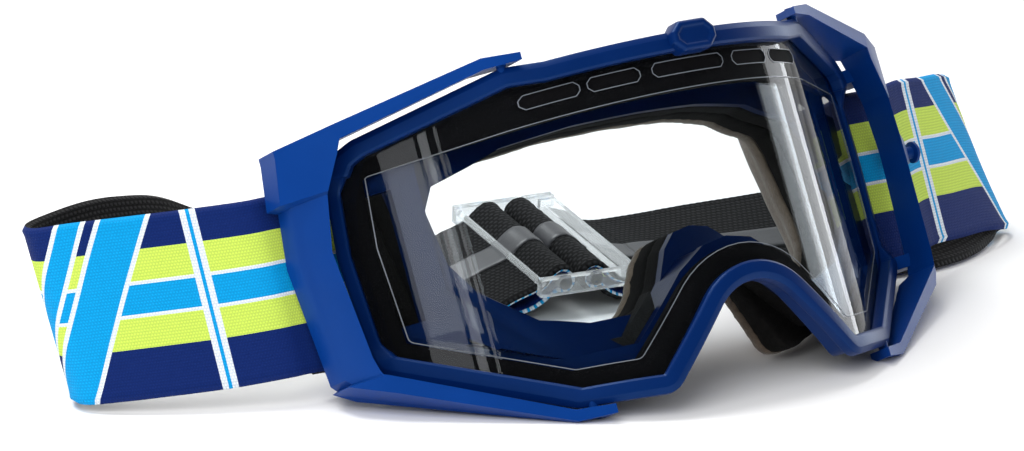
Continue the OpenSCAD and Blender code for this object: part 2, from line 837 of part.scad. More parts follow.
front_rim();
face_frame();
lens_outer();
lens_inner();
lens_spacer();
vent_foam_top();
vent_foam_low(-1);  // vent_foam_low_left
vent_foam_low(1);  // vent_foam_low_right
face_foam_base();
face_foam_core();
face_foam_fleece();
outrigger_left();
outrigger_right();
outrigger_pins(-1);  // outrigger_pins_left
outrigger_pins(1);  // outrigger_pins_right
tear_off_post();
strap_end(-1);  // strap_end_left
strap_end(1);  // strap_end_right
strap_left();
strap_right();
strap_grip_left();
strap_grip_right();
strap_adjuster();
strap_loop_left();
strap_loop_right();
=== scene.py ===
# %% [markdown]
# Motocross goggles, dressed in Blender. The CAD gives every solid its size and place;
# this script gives each piece its rounded edges, its cloth or foam, and its finish.
# Lengths are written in millimetres, as a maker would, and become metres in one place.

# %% The frame and its measures
import math

import bmesh
import bpy
import numpy as np
from mathutils import Matrix, Vector

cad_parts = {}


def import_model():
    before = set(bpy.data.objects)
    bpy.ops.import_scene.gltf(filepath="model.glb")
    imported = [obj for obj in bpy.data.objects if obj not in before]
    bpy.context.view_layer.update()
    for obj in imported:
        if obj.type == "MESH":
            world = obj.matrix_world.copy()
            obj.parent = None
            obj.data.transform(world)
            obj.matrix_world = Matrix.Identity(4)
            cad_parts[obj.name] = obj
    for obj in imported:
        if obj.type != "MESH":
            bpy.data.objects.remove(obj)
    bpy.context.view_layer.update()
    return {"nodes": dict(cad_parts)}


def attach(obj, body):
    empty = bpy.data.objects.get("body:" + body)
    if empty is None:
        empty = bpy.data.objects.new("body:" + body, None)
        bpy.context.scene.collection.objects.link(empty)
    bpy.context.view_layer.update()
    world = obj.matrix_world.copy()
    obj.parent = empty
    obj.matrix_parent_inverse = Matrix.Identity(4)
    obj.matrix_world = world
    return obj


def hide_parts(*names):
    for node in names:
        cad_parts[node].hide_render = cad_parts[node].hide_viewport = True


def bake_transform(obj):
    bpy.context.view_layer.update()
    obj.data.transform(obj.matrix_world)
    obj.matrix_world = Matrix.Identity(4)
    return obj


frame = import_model()
MM = 0.001


def linked(name, data):
    """A new object that carries this data, put into the scene."""
    obj = bpy.data.objects.new(name, data)
    bpy.context.scene.collection.objects.link(obj)
    return obj


# %% [markdown]
# The photograph was taken from the wearer's right, a little above the table, with a long
# lens. A camera needs a place, three directions and a focal length. They were found by
# fitting the known shape of the rim and arms to the picture.

# %% The camera
VIEW_RIGHT = (0.8288, -0.5594, -0.0166)
VIEW_DOWN = (-0.1540, -0.1994, -0.9677)
VIEW_AHEAD = (0.5380, 0.8046, -0.2514)
VIEW_FROM = (-0.79777, -1.15206, 0.39170)
FOCAL_LENGTH = 210.94
camera_data = bpy.data.cameras.new("camera")
camera_data.lens = FOCAL_LENGTH
camera_data.sensor_width = 36
camera_data.clip_end = 50
camera = linked("camera", camera_data)
camera.matrix_world = Matrix([
    (VIEW_RIGHT[k], -VIEW_DOWN[k], -VIEW_AHEAD[k], VIEW_FROM[k]) for k in range(3)] + [(0, 0, 0, 1)])
bpy.context.scene.camera = camera
bpy.context.scene.view_settings.view_transform = "Standard"
print("camera at", tuple(round(v, 3) for v in camera.matrix_world.translation))

# %% [markdown]
# The goggles lean back on their strap. Shapes are easier to write in the goggles' own
# frame, where X runs across, Y runs back towards the face and Z runs up along the lens.
# One function turns such points into the standing frame that the CAD uses.

# %% From the goggles' frame to the standing frame
LEAN = math.radians(26)
STAND_H = 46.8
MID_X, MID_Y = 1.968, 51.258


def stand(x, y, z):
    """Turns points about X by the lean, lifts them, and moves the middle to the origin."""
    x, y, z = np.broadcast_arrays(x, y, z)
    return np.stack([
        x - MID_X,
        y * math.cos(LEAN) + z * math.sin(LEAN) - MID_Y,
        z * math.cos(LEAN) - y * math.sin(LEAN) + STAND_H,
    ], axis=-1)


# %% [markdown]
# Every new piece here is a grid of points: rows follow a path and columns follow a
# section. Joining each point to its neighbours gives four-sided faces, and a grid that
# closes on itself needs no seam. The sign of the enclosed volume tells which way round
# the faces have to go.

# %% Grids into meshes
def grid_faces(rows, columns, close_rows, close_columns):
    """Corner numbers of the four-sided faces between neighbours on a grid."""
    i = np.arange(rows if close_rows else rows - 1)
    j = np.arange(columns if close_columns else columns - 1)
    i, j = np.meshgrid(i, j, indexing="ij")
    up, right = (i + 1) % rows, (j + 1) % columns
    corners = [i * columns + j, up * columns + j, up * columns + right, i * columns + right]
    return np.stack(corners, axis=-1).reshape(-1, 4)


def enclosed(points, faces):
    """Six times the volume inside closed faces: the sum of corner triple products."""
    a, b, c, d = (points[faces[:, k]] for k in range(4))
    return np.sum(np.cross(a, b) * c) + np.sum(np.cross(a, c) * d)


def shade_smooth(mesh):
    """Every face blends its shading into its neighbours'."""
    mesh.polygons.foreach_set("use_smooth", np.ones(len(mesh.polygons), dtype=bool))


def piece(name, points, faces, uv=None, slots=None):
    """Puts points in mm and four-sided faces into a new smooth mesh object."""
    if enclosed(points, faces) < 0:
        faces = faces[:, ::-1]
    mesh = bpy.data.meshes.new(name)
    mesh.vertices.add(len(points))
    mesh.vertices.foreach_set("co", (points * MM).astype(np.float32).ravel())
    mesh.loops.add(faces.size)
    mesh.loops.foreach_set("vertex_index", faces.astype(np.int32).ravel())
    mesh.polygons.add(len(faces))
    mesh.polygons.foreach_set("loop_start", np.arange(0, faces.size, 4, dtype=np.int32))
    if slots is not None:
        mesh.polygons.foreach_set("material_index", slots.astype(np.int32))
    if uv is not None:
        layer = mesh.uv_layers.new(name="cloth")
        layer.data.foreach_set("uv", uv[faces.ravel()].astype(np.float32).ravel())
    mesh.update(calc_edges=True)
    mesh.validate()
    shade_smooth(mesh)
    print(name, len(points), "points,", len(faces), "faces")
    return linked(name, mesh)


# %% [markdown]
# Moulded corners are never sharp. A corner is rounded by two tangent points and an arc
# between them. The same number of points per corner and per edge, whatever the offset,
# lets one outline become many rings that fit together.

# %% Rounded outlines at any offset
CORNER_SHARE = 0.46


def whole(half):
    """A closed outline from its right half, listed from the bottom to the top."""
    half = np.array(half, float)
    return np.concatenate([half, half[-2:0:-1] * [-1, 1]])


def moved(outline, d):
    """The outline moved outwards by d, each corner along the middle of its two normals."""
    ahead = np.roll(outline, -1, axis=0) - outline
    ahead /= np.linalg.norm(ahead, axis=1)[:, None]
    after = np.stack([ahead[:, 1], -ahead[:, 0]], axis=1)
    before = np.roll(after, 1, axis=0)
    return outline + (before + after) * d / (1 + np.sum(before * after, axis=1))[:, None]


def rounded(outline, radius, steps, spacing=None):
    """Each corner becomes an arc of the radius that takes at most CORNER_SHARE of its
    shorter edge. spacing is the number of points inside each edge."""
    after = np.roll(outline, -1, axis=0) - outline
    length = np.linalg.norm(after, axis=1)
    ahead = after / length[:, None]
    behind = np.roll(ahead, 1, axis=0)
    short = np.minimum(length, np.roll(length, 1))
    turn = np.arccos(np.clip(np.sum(ahead * behind, axis=1), -1, 1))
    reach = np.minimum(radius * np.tan(turn / 2), short * CORNER_SHARE)
    t = np.linspace(0, 1, steps)[None, :, None]
    first = (outline - behind * reach[:, None])[:, None]
    last = (outline + ahead * reach[:, None])[:, None]
    mid = outline[:, None]
    arc = first * (1 - t) ** 2 + 2 * mid * t * (1 - t) + last * t ** 2
    if spacing is None:
        return arc.reshape(-1, 2)
    rings = []
    nxt = np.roll(first[:, 0], -1, axis=0)
    for corner in range(len(outline)):
        share = np.linspace(0, 1, spacing[corner] + 2)[1:-1, None]
        rings += [arc[corner], last[corner, 0] * (1 - share) + nxt[corner] * share]
    return np.concatenate(rings)


def turn_sign(outline):
    """+1 at corners that stick out and -1 at corners that go in."""
    a = outline - np.roll(outline, 1, axis=0)
    b = np.roll(outline, -1, axis=0) - outline
    return np.sign(a[:, 0] * b[:, 1] - a[:, 1] * b[:, 0])


def edge_points(outline, step):
    """How many points go inside each edge, for faces about one step long."""
    length = np.linalg.norm(np.roll(outline, -1, axis=0) - outline, axis=1)
    return np.maximum(0, (length / step).astype(int))


# %% [markdown]
# The lens is a cylinder in the middle and runs on straight at its sides. A point of the
# rim is found from its place in the front view and its height over the lens: its front
# view place picks a line square to the lens, and its height goes along that line.

# %% The surface of the lens
LENS_R = 62.0
WRAP = math.radians(45)
LIP = 3.4
SIDE_ACROSS, SIDE_LOW, SIDE_HIGH = (56, 60), (-19, -13), (22, 28)


def over_lens(flat, height, ref=LIP):
    """Front view points, read at height ref over the lens, moved to another height along
    the line square to the lens: an angle on the cylinder, or a run on the straight sides."""
    x, z = flat[..., 0], flat[..., 1]
    edge = (LENS_R + ref) * math.sin(WRAP)
    angle = np.where(np.abs(x) <= edge, np.arcsin(np.clip(x / (LENS_R + ref), -1, 1)), np.sign(x) * WRAP)
    run = np.maximum(np.abs(x) - edge, 0) / math.cos(WRAP)
    r = LENS_R + height
    return stand(
        r * np.sin(angle) + np.sign(x) * run * math.cos(WRAP),
        LENS_R - r * np.cos(angle) + run * math.sin(WRAP), z)


def eased(value, start, end):
    """0 before start and 1 after end, with a smooth change between them."""
    t = np.clip((value - start) / (end - start), 0, 1)
    return t * t * (3 - 2 * t)


def before(value, fall):
    """1 before the fall and 0 after it, eased over it."""
    return eased(-value, -fall[1], -fall[0])


def zone(value, rise, fall):
    """1 between the rise and the fall and 0 outside them, eased over both."""
    return eased(value, *rise) * before(value, fall)


def swept_over_lens(name, outline, section, side_section, corner_r, section_r=0.35, step=1.5, ref=LIP):
    """A closed section of (offset, height) pairs carried round an outline on the lens. It
    turns into the side section past SIDE_ACROSS, between SIDE_LOW and SIDE_HIGH."""
    sign = turn_sign(outline)
    inside = edge_points(outline, step)

    def ring(d):
        """The outline moved by d; the arcs' radius grows by d where corners stick out."""
        return rounded(moved(outline, d), np.maximum(corner_r + sign * d, 0.4), 5, inside)

    path = ring(0)
    side = eased(np.abs(path[:, 0]), *SIDE_ACROSS) * zone(path[:, 1], SIDE_LOW, SIDE_HIGH)
    rings = []
    front_points, side_points = (rounded(np.array(s, float), section_r, 4) for s in (section, side_section))
    for (d, h), (side_d, side_h) in zip(front_points, side_points):
        flat = ring(d) * (1 - side)[:, None] + ring(side_d) * side[:, None]
        rings.append(over_lens(flat, h * (1 - side) + side_h * side, ref))
    points = np.stack(rings)
    faces = grid_faces(len(rings), points.shape[1], True, True)
    return piece(name, points.reshape(-1, 3), faces)


# %% [markdown]
# The rim is one moulding: a lip in front of the lens, a groove that holds it and a skirt
# behind. Its outline is the goggles' own: straight brow with a crest beside the middle,
# cut corners at the temples and cheeks, and the arch over the nose. Along its two upright
# sides the lip is thin and narrow, so the edge of the lens shows there.

# %% The rim
ARCH_R, ARCH_TOP = 14.0, 22.3
arch = [(ARCH_R * math.sin(t), -ARCH_TOP - ARCH_R * (1 - math.cos(t))) for t in np.radians(np.linspace(0, 46, 7))]
RIM_OUTLINE = whole(arch + [
    (26, -44), (45.5, -41.6), (77.2, -20.5), (78.6, 8), (77.4, 27), (75.2, 31.4), (71, 33.8),
    (43, 39.8), (35, 38.6), (0, 38.6)])
RIM_SECTION = [
    (0, 0.3), (0, 2.7), (-1.5, 3.4), (-4.0, 3.3), (-4.6, 2.8), (-4.6, 0.05), (-2.5, 0.02), (-2.5, -4.15),
    (-1.25, -4.15), (-1.2, -0.1)]
SIDE_SECTION = [
    (0, 0.2), (0, 0.5), (-0.5, 0.8), (-1.9, 0.75), (-2.3, 0.6), (-2.35, 0.05), (-2.3, 0.02), (-2.3, -4.15),
    (-1.25, -4.15), (-1.2, -0.1)]
rim = swept_over_lens("front_rim_shell", RIM_OUTLINE, RIM_SECTION, SIDE_SECTION, 5.0)

# %% [markdown]
# The tab on top of the rim has eight sides and stands in front of it. It is left bare,
# with a raised border and a shallow field. Its rings shrink to one point in the middle,
# which closes the front.

# %% The tab on the rim
def merged(mesh, nearest, then=None):
    """Joins points that are nearer than this in metres; then() can edit the result."""
    bm = bmesh.new()
    bm.from_mesh(mesh)
    bmesh.ops.remove_doubles(bm, verts=bm.verts, dist=nearest)
    if then:
        then(bm)
    bm.to_mesh(mesh)
    bm.free()


def stacked(name, outline, rings, corner_r, steps=4):
    """Rings of (offset, height), from the back to a small ring in the middle of the front,
    closed at both ends by a last ring with no size."""
    sign = turn_sign(outline)
    middle = outline.mean(axis=0)
    rows = []
    for d, h in rings:
        if d is None:
            flat = np.repeat(middle[None], len(outline) * steps, axis=0)
        else:
            flat = rounded(moved(outline, d), np.maximum(corner_r + sign * d, 0.2), steps)
        rows.append(over_lens(flat, h))
    points = np.stack(rows)
    obj = piece(name, points.reshape(-1, 3), grid_faces(len(rows), points.shape[1], False, True))
    merged(obj.data, 1e-6)
    return obj


TAB_OUTLINE = whole([(0, 33), (3.6, 33), (6, 35.4), (6, 38), (3.6, 40.4), (0, 40.4)])
tab = stacked("rim_tab", TAB_OUTLINE, [
    (None, 0.2), (-0.6, 0.2), (-0.1, 0.5), (0, 1.0), (0, 5.0), (-0.25, 5.6), (-0.7, 6.0), (-1.3, 6.0),
    (-1.6, 5.75), (-1.9, 5.55), (-2.6, 5.5), (None, 5.5)], 0.8)

# %% [markdown]
# The cut edges of a clear sheet catch the light as fine bright lines. Here that light is
# painted: each vent slot gets a thin light grey border on the face of the lens, and so does
# the inner edge of the spacer, as a painted highlight.

# %% Painted highlights on the cut edges of the lens
def painted_highlight_line(name, outline, width, height, corner_r):
    """A closed thin section round an outline that is read on the lens itself, to carry a painted highlight."""
    section = [(-width, 0.0), (-width, height), (0.1, height), (0.1, 0.0)]
    return swept_over_lens(name, outline, section, section, corner_r, section_r=0.08, step=3.0, ref=0.0)


LINE_W = 0.12
SLOT_TOP, SLOT_LOW, SLOT_CUT = 32.4, 29.2, 1.024
SLOTS = ((-39.6, -27.4), (-25.5, -13.3), (-10, 10), (13.3, 25.5), (27.4, 39.6))
SPACER_IN, SPACER_TOP = 9.4, 25.5
painted_highlight_lines = []
for number, (x0, x1) in enumerate(SLOTS, 1):
    slot = np.array([
        (x0 + SLOT_CUT, SLOT_LOW), (x1 - SLOT_CUT, SLOT_LOW), (x1, SLOT_LOW + SLOT_CUT), (x1, SLOT_TOP - SLOT_CUT),
        (x1 - SLOT_CUT, SLOT_TOP), (x0 + SLOT_CUT, SLOT_TOP), (x0, SLOT_TOP - SLOT_CUT), (x0, SLOT_LOW + SLOT_CUT)])
    painted_highlight_lines.append(painted_highlight_line(f"slot_painted_highlight_{number}", moved(slot, 0.1), LINE_W, 0.1, 0.5))
window = moved(RIM_OUTLINE, -SPACER_IN)
window[:, 1] = np.minimum(window[:, 1], SPACER_TOP)
painted_highlight_lines.append(painted_highlight_line("spacer_painted_highlight", window, LINE_W, 0.08, 2.0))

# %% [markdown]
# Boxy mouldings such as the arms, the inner frame and the adjuster start from their CAD
# shape. A copy of the CAD mesh has its loose triangles merged and its flat areas joined,
# and a Bevel modifier then rounds the edges as a mould does. The arms' bars are turned
# and notched on the way, and the inner frame's opening is made a little wider.

# %% Rounded copies of CAD mouldings
def in_goggles(points):
    """Points of the standing frame back in the goggles' own frame: the inverse of stand."""
    x, y, z = (points + [MID_X, MID_Y, -STAND_H]).T
    return np.stack([x, y * math.cos(LEAN) - z * math.sin(LEAN), y * math.sin(LEAN) + z * math.cos(LEAN)], axis=-1)


CAD_MERGE = 3e-6
ROUNDED_ABOVE = math.radians(28)
POST_Z = 8.6
BAR_STEPS, BOSS_STEPS, BAR_INSET = (22.6, 21.8), (3.2, 4.0), 3.0
BAR_CUTS = [sign * z for z in BAR_STEPS for sign in (-1, 1)]
BOSS_CUTS = [POST_Z + sign * z for z in BOSS_STEPS for sign in (-1, 1)]
BAR_EDGE, BAR_SLOPE = 89.5, 0.6
TURN_STARTS, BAR_STARTS, BAR_MIDDLE, BAR_OUTSIDE = (69, 78.5), (69, 74.5), (80, 84), (82, 86)
BAR_ENDS, ROD_STARTS = (20, 31), (55.5, 60)
OPENING_GROWS, OPENING_EDGE, OUTER_WALL = 3.0, (40, 50), (53.2, 58.5)


def sliced(bm, heights):
    """Adds a ring of edges at each height of the goggles' frame, so steps can be formed."""
    upright = stand(0.0, 0.0, 1.0) - stand(0.0, 0.0, 0.0)
    for z in heights:
        bmesh.ops.bisect_plane(bm, geom=bm.verts[:] + bm.edges[:] + bm.faces[:],
                               plane_co=stand(0.0, 0.0, z) * MM, plane_no=upright)


def reshaped(mesh, change):
    """Applies a change, written in the goggles' frame in mm, to every point of a mesh."""
    co = np.empty(len(mesh.vertices) * 3)
    mesh.vertices.foreach_get("co", co)
    points = in_goggles(co.reshape(-1, 3) / MM)
    points = change(points)
    mesh.vertices.foreach_set("co", (stand(*points.T) * MM).ravel())
    mesh.update()


def turned_bar(points):
    """The upright bar faces outwards: its points go forward by BAR_SLOPE times their
    distance from the outer edge, less along the cross arms and none at the rod. Between
    its ends the bar is set in by BAR_INSET on both sides, but not at the post."""
    x, y, z = np.abs(points[:, 0]), points[:, 1], np.abs(points[:, 2])
    inwards = -np.sign(points[:, 0]) * BAR_INSET
    out = points.copy()
    before_rod = before(y, ROD_STARTS)
    inner_side = zone(x, BAR_STARTS, BAR_MIDDLE) * before(z, BAR_ENDS) * before_rod
    out[:, 0] -= inwards * inner_side
    out[:, 1] -= BAR_SLOPE * np.maximum(BAR_EDGE - np.abs(out[:, 0]), 0) * eased(x, *TURN_STARTS) * before_rod
    outer_side = (z < BAR_STEPS[1] + 0.2) * eased(x, *BAR_OUTSIDE)
    at_post = (points[:, 0] > 0) & (np.abs(points[:, 2] - POST_Z) < BOSS_STEPS[0] + 0.2)
    out[:, 0] += inwards * outer_side * ~at_post
    return out


def wider_opening(points):
    """The sides of the face opening go outwards by OPENING_GROWS; the outer walls stay."""
    out = points.copy()
    at_side = zone(np.abs(points[:, 0]), OPENING_EDGE, OUTER_WALL)
    out[:, 0] += np.sign(points[:, 0]) * OPENING_GROWS * at_side
    return out


def cad_copy(name, node):
    """A copy of a CAD node's mesh under a new name, so that the node stays as it is."""
    mesh = frame["nodes"][node].data.copy()
    mesh.name = name
    return mesh


def moulded_copy(name, node, width, segments=3, change=None, heights=()):
    """A merged copy of a CAD node, with edges that turn by more than ROUNDED_ABOVE rounded
    by width mm. change reshapes it, with rings of edges at the heights for its steps."""
    def flattened(bm):
        """Flat areas joined, faces turned outwards, and the rings of edges added."""
        bmesh.ops.dissolve_limit(bm, angle_limit=math.radians(1.0), verts=bm.verts, edges=bm.edges)
        bmesh.ops.recalc_face_normals(bm, faces=bm.faces)
        sliced(bm, heights)

    mesh = cad_copy(name, node)
    merged(mesh, CAD_MERGE, flattened)
    if change:
        reshaped(mesh, change)
    shade_smooth(mesh)
    obj = linked(name, mesh)
    bevel = obj.modifiers.new("rounded edges", "BEVEL")
    bevel.width = width * MM
    bevel.segments = segments
    bevel.limit_method = "ANGLE"
    bevel.angle_limit = ROUNDED_ABOVE
    bevel.miter_outer = "MITER_ARC"
    weighted = obj.modifiers.new("flat faces stay flat", "WEIGHTED_NORMAL")
    weighted.keep_sharp = False
    print(name, len(mesh.vertices), "points before its edges are rounded")
    return obj


arm_left = moulded_copy("arm_left_moulding", "outrigger_left", 0.5, 3, turned_bar, BAR_CUTS)
arm_right = moulded_copy("arm_right_moulding", "outrigger_right", 0.5, 3, turned_bar, BAR_CUTS + BOSS_CUTS)
inner_frame = moulded_copy("inner_frame_moulding", "face_frame", 0.4, 2, wider_opening)
adjuster = moulded_copy("adjuster_moulding", "strap_adjuster", 1.0, 4)

# %% [markdown]
# The strap is one long ribbon on each side. Its lower and upper edges are two curves that
# pass through the same stations as in the CAD: round the rod in the arm, out to the side,
# round a fold and back along the table to the adjuster.

# %% Where the strap runs
STRAP_W, STRAP_T = 43.0, 1.8
STRAP_TOP = 27.0
STRAP_LOW = STRAP_TOP - STRAP_W
ROD_X, ROD_Y = 69.5, 61.5
ADJUSTER_AT = np.array([9.6 - MID_X, 91.8 - MID_Y, 12.8])
ADJUSTER_TURN, ADJUSTER_TILT = math.radians(-7.2), math.radians(9.7)
ROD_TURN_R = 3.15
LOOP_END_X, LOOP_END_Z = 26.0, -7.2
BAR_X, BAR_R = 4.3, 1.7
LEFT_LOW = [
    (-104.3, 50.5, 5.4), (-116, 57, 4.1), (-126, 63.8, 2.8), (-132.5, 70.3, 1.7), (-131.5, 77.5, 1.1),
    (-125, 82.5, 1), (-113, 86.5, 1), (-101, 88, 1), (-88, 87, 1), (-72, 84, 1.1), (-54, 80.5, 1.3), (-36, 77.7, 1.9)]
LEFT_UP = [
    (-103.5, 69.8, 44.4), (-116, 76.5, 43.2), (-127.5, 83.3, 42), (-134, 89.5, 40.5), (-132.5, 96.5, 39.8),
    (-125, 101, 39.9), (-112.5, 104.6, 40.4), (-101, 108, 39.3), (-87.5, 112, 36.3), (-71, 117.5, 28.5),
    (-51, 119.6, 19), (-31.5, 118.9, 13)]
RIGHT_LOW = [
    (101.5, 50.2, 6.9), (113, 54.5, 5.8), (124, 59, 4.8), (131.5, 62.3, 3.4), (137, 66, 2), (138.2, 68.6, 1.4),
    (135.5, 68, 1), (129, 62, 1), (120, 55.6, 1), (110, 51.2, 1), (97, 49.6, 1), (78, 53, 1), (58, 59.6, 1.4),
    (46, 64.4, 2)]
RIGHT_UP = [
    (102.5, 68.3, 45.6), (113.5, 73, 44), (122.5, 77.5, 42.7), (129, 82, 40.6), (131.5, 88.5, 38.2),
    (130.5, 93, 36.3), (127, 97, 33.5), (121, 98, 29.5), (113.5, 97, 23.4), (104, 94.7, 18.5), (92.5, 92.8, 15.2),
    (76.5, 95.2, 14.4), (59.5, 101.5, 12.8), (49.5, 106.5, 11.2)]


def on_adjuster(x, y, z):
    """Points of the adjuster's own frame: tilted about X, turned about Z, then moved."""
    x, y, z = np.broadcast_arrays(np.asarray(x, float), y, z)
    ty = y * math.cos(ADJUSTER_TILT) - z * math.sin(ADJUSTER_TILT)
    tz = y * math.sin(ADJUSTER_TILT) + z * math.cos(ADJUSTER_TILT)
    ca, sa = math.cos(ADJUSTER_TURN), math.sin(ADJUSTER_TURN)
    return np.stack([x * ca - ty * sa, x * sa + ty * ca, tz], axis=-1) + ADJUSTER_AT


def sewn_turn(side, z):
    """The strap's end in plan: its sewn tail, the turn round the rod, and out past the bar."""
    tail = [(85, 60.0), (79, 61.3), (74.5, 63.4)]
    angles = np.radians([75, 105, 140, 180, 220, 255])
    turn = [(ROD_X + ROD_TURN_R * math.cos(a), ROD_Y + ROD_TURN_R * math.sin(a)) for a in angles]
    out = [(73.5, 58.2), (80, 57.6), (87, 57.3), (93, 58.0)]
    plan = np.array(tail + turn + out)
    return stand(side * plan[:, 0], plan[:, 1], z)


def strap_edges(side, low, up):
    """The stations of the strap's two edges, from the sewn tail to the adjuster."""
    ends = []
    for z, table, edge in ((STRAP_LOW, low, -1), (STRAP_TOP, up, 1)):
        meet = on_adjuster(side * np.array([LOOP_END_X + 5, LOOP_END_X + 0.3]), edge * STRAP_W / 2,
                           LOOP_END_Z + STRAP_T / 2)
        ends.append(np.concatenate([sewn_turn(side, z), np.array(table) - [MID_X, MID_Y, 0], meet]))
    return ends


# %% [markdown]
# A cubic curve between the stations passes through each of them with no corner, so a
# strap laid along it bends as elastic does. It is then measured out in equal steps, which
# keeps the weave even all the way.

# %% Smooth paths in equal steps
PER_STATION = 24


def smooth_path(stations):
    """Between each two stations, a cubic whose slopes follow the neighbours on each side."""
    p = np.concatenate([stations[:1], stations, stations[-1:]])
    a, b, c, d = p[:-3, None], p[1:-2, None], p[2:-1, None], p[3:, None]
    t = np.linspace(0, 1, PER_STATION, endpoint=False)[None, :, None]
    curve = 0.5 * (2 * b + (c - a) * t + (2 * a - 5 * b + 4 * c - d) * t ** 2 + (3 * b - a - 3 * c + d) * t ** 3)
    return np.concatenate([curve.reshape(-1, 3), stations[-1:]])


def even_steps(low, up, step):
    """Both edges cut at equal lengths along their middle line; also the length so far."""
    middle = (low + up) / 2
    so_far = np.concatenate([[0], np.cumsum(np.linalg.norm(np.diff(middle, axis=0), axis=1))])
    at = np.linspace(0, so_far[-1], int(so_far[-1] / step) + 1)
    cut = [np.stack([np.interp(at, so_far, edge[:, k]) for k in range(3)], axis=1) for edge in (low, up)]
    return cut[0], cut[1], at


# %% [markdown]
# Elastic webbing has a body about 2 mm thick, edges that are bound a little thicker, and
# fine cross ribs that show as notches along its edges. The section goes up one face,
# round the edge and down the other, so the two ends close with plain strips. Its points
# crowd towards the edges, where the shape changes most.

# %% Ribbons with two faces
CLOTH_UNIT = 400.0
CROWDING = 0.06
EDGE_ROUND, THINNEST = 0.55, 0.06
BOUND_MORE, BOUND_AT, BOUND_W = 0.22, 1.3, 0.7
RIB_PITCH, RIB_REACH = 1.9, 1.6


def ribbon(name, low, up, printed, thick=STRAP_T, share=(0, 1), lift=0.0, columns=26, step=0.55, notch=0.1):
    """Across the width goes a rounded section, thicker by BOUND_MORE near its edges; its
    normal is the run crossed with the width, and a sine along the edges makes the ribs.
    printed is +1 or -1, the side of that normal that carries the printed face."""
    low, up, along = even_steps(low, up, step)
    width = up - low
    run = np.gradient((low + up) / 2, axis=0)
    normal = np.cross(run, width)
    normal /= np.linalg.norm(normal, axis=1)[:, None]
    t = np.linspace(0, 1, columns)
    edge = STRAP_W * (share[1] - share[0])
    a = t - np.sin(2 * np.pi * t) * CROWDING
    near = np.minimum(a, 1 - a) * edge
    h = thick / 2 * np.sqrt(np.clip(1 - np.clip(1 - near / (thick * EDGE_ROUND), 0, 1) ** 2, 0, 1))
    h *= 1 + BOUND_MORE * np.exp(-((near - BOUND_AT) / BOUND_W) ** 2)
    h = np.maximum(h, thick * THINNEST)
    across = np.concatenate([a, a[::-1]])
    height = np.concatenate([h, -h[::-1]])
    place = share[0] + across * (share[1] - share[0])
    wave = 1 + notch * np.sin(2 * np.pi * along / RIB_PITCH)[:, None] * np.exp(-near / RIB_REACH)[None]
    wave = np.concatenate([wave, wave[:, ::-1]], axis=1)
    points = low[:, None] + width[:, None] * place[None, :, None] + normal[:, None] * (lift + height * wave)[..., None]
    rows, cols = points.shape[:2]
    faces = grid_faces(rows, cols, False, True)
    slots = np.tile(np.where(np.arange(cols) < columns, 0, 1), rows - 1)
    if printed < 0:
        slots = 1 - slots
    j = np.arange(columns - 1)
    cap = np.stack([j, j + 1, cols - 2 - j, cols - 1 - j], axis=1)
    last = (rows - 1) * cols
    faces = np.concatenate([faces, cap[:, ::-1], cap + last])
    slots = np.concatenate([slots, np.ones(2 * (columns - 1), int)])
    uv = np.stack(np.broadcast_arrays(place[None], along[:, None] / CLOTH_UNIT), axis=-1)
    return piece(name, points.reshape(-1, 3), faces, uv.reshape(-1, 2), slots)


left_low, left_up = (smooth_path(e) for e in strap_edges(-1, LEFT_LOW, LEFT_UP))
right_low, right_up = (smooth_path(e) for e in strap_edges(1, RIGHT_LOW, RIGHT_UP))
strap_left = ribbon("strap_left_webbing", left_low, left_up, -1)
strap_right = ribbon("strap_right_webbing", right_low, right_up, 1)
for label, low, up in (("left", left_low, left_up), ("right", right_low, right_up)):
    print(label, "strap is", round(even_steps(low, up, 1)[2][-1]), "mm long")

# %% [markdown]
# A line of silicone is printed along the middle of the inner face so that the strap grips
# a helmet. It is a thinner ribbon, lifted off the same path to lie on the cloth.

# %% Silicone lines
GRIP_HALF_W, GRIP_LIFT = 4.5, STRAP_T / 2 + 0.16
SILICONE = {
    "thick": 0.5, "share": (0.5 - GRIP_HALF_W / STRAP_W, 0.5 + GRIP_HALF_W / STRAP_W),
    "columns": 10, "step": 1.1, "notch": 0}
BACK_PART = 15 * PER_STATION


def grip_line(name, low, up, inner):
    """The strap's path from its 16th station on, lifted to lie on the cloth."""
    return ribbon(name, low[BACK_PART:], up[BACK_PART:], inner, lift=inner * GRIP_LIFT, **SILICONE)


grip_left = grip_line("strap_left_silicone", left_low, left_up, 1)
grip_right = grip_line("strap_right_silicone", right_low, right_up, -1)

# %% [markdown]
# At the adjuster each end of the strap comes up from the table, goes over a bar and comes
# back underneath itself. In the adjuster's own frame this is a path in one plane, and the
# ribbon is as wide as the strap.

# %% The loops at the adjuster
def loop_path(side, y):
    """The inner face stays up over the bar, then turns down and runs back below."""
    angles = np.radians([128, 100, 60, 20, -20, -60, -95, -125])
    r = BAR_R + 0.3 + STRAP_T / 2
    turn = [(-BAR_X + r * math.cos(a), r * math.sin(a)) for a in angles]
    plane = np.array(
        [(-LOOP_END_X - 0.1, LOOP_END_Z + STRAP_T / 2), (-21, -5.3), (-16.5, -3.5), (-12.5, -2.2), (-9.6, -0.9),
         (-7.6, 1.1)] + turn + [(-8.6, -4.8), (-12, -6.6), (-17, -7.7), (-24, -8.1)])
    return on_adjuster(-side * plane[:, 0], y, plane[:, 1])


def strap_loop(name, side, printed, **more):
    """A ribbon along the loop's path, with an edge at half of the strap's width each way."""
    low, up = (smooth_path(loop_path(side, edge * STRAP_W / 2)) for edge in (-1, 1))
    return ribbon(name, low, up, printed, **more)


loop_left = strap_loop("strap_left_turn", -1, -1)
loop_right = strap_loop("strap_right_turn", 1, 1)
loop_grip_left = strap_loop("left_turn_silicone", -1, 1, lift=GRIP_LIFT, **SILICONE)
loop_grip_right = strap_loop("right_turn_silicone", 1, -1, lift=-GRIP_LIFT, **SILICONE)

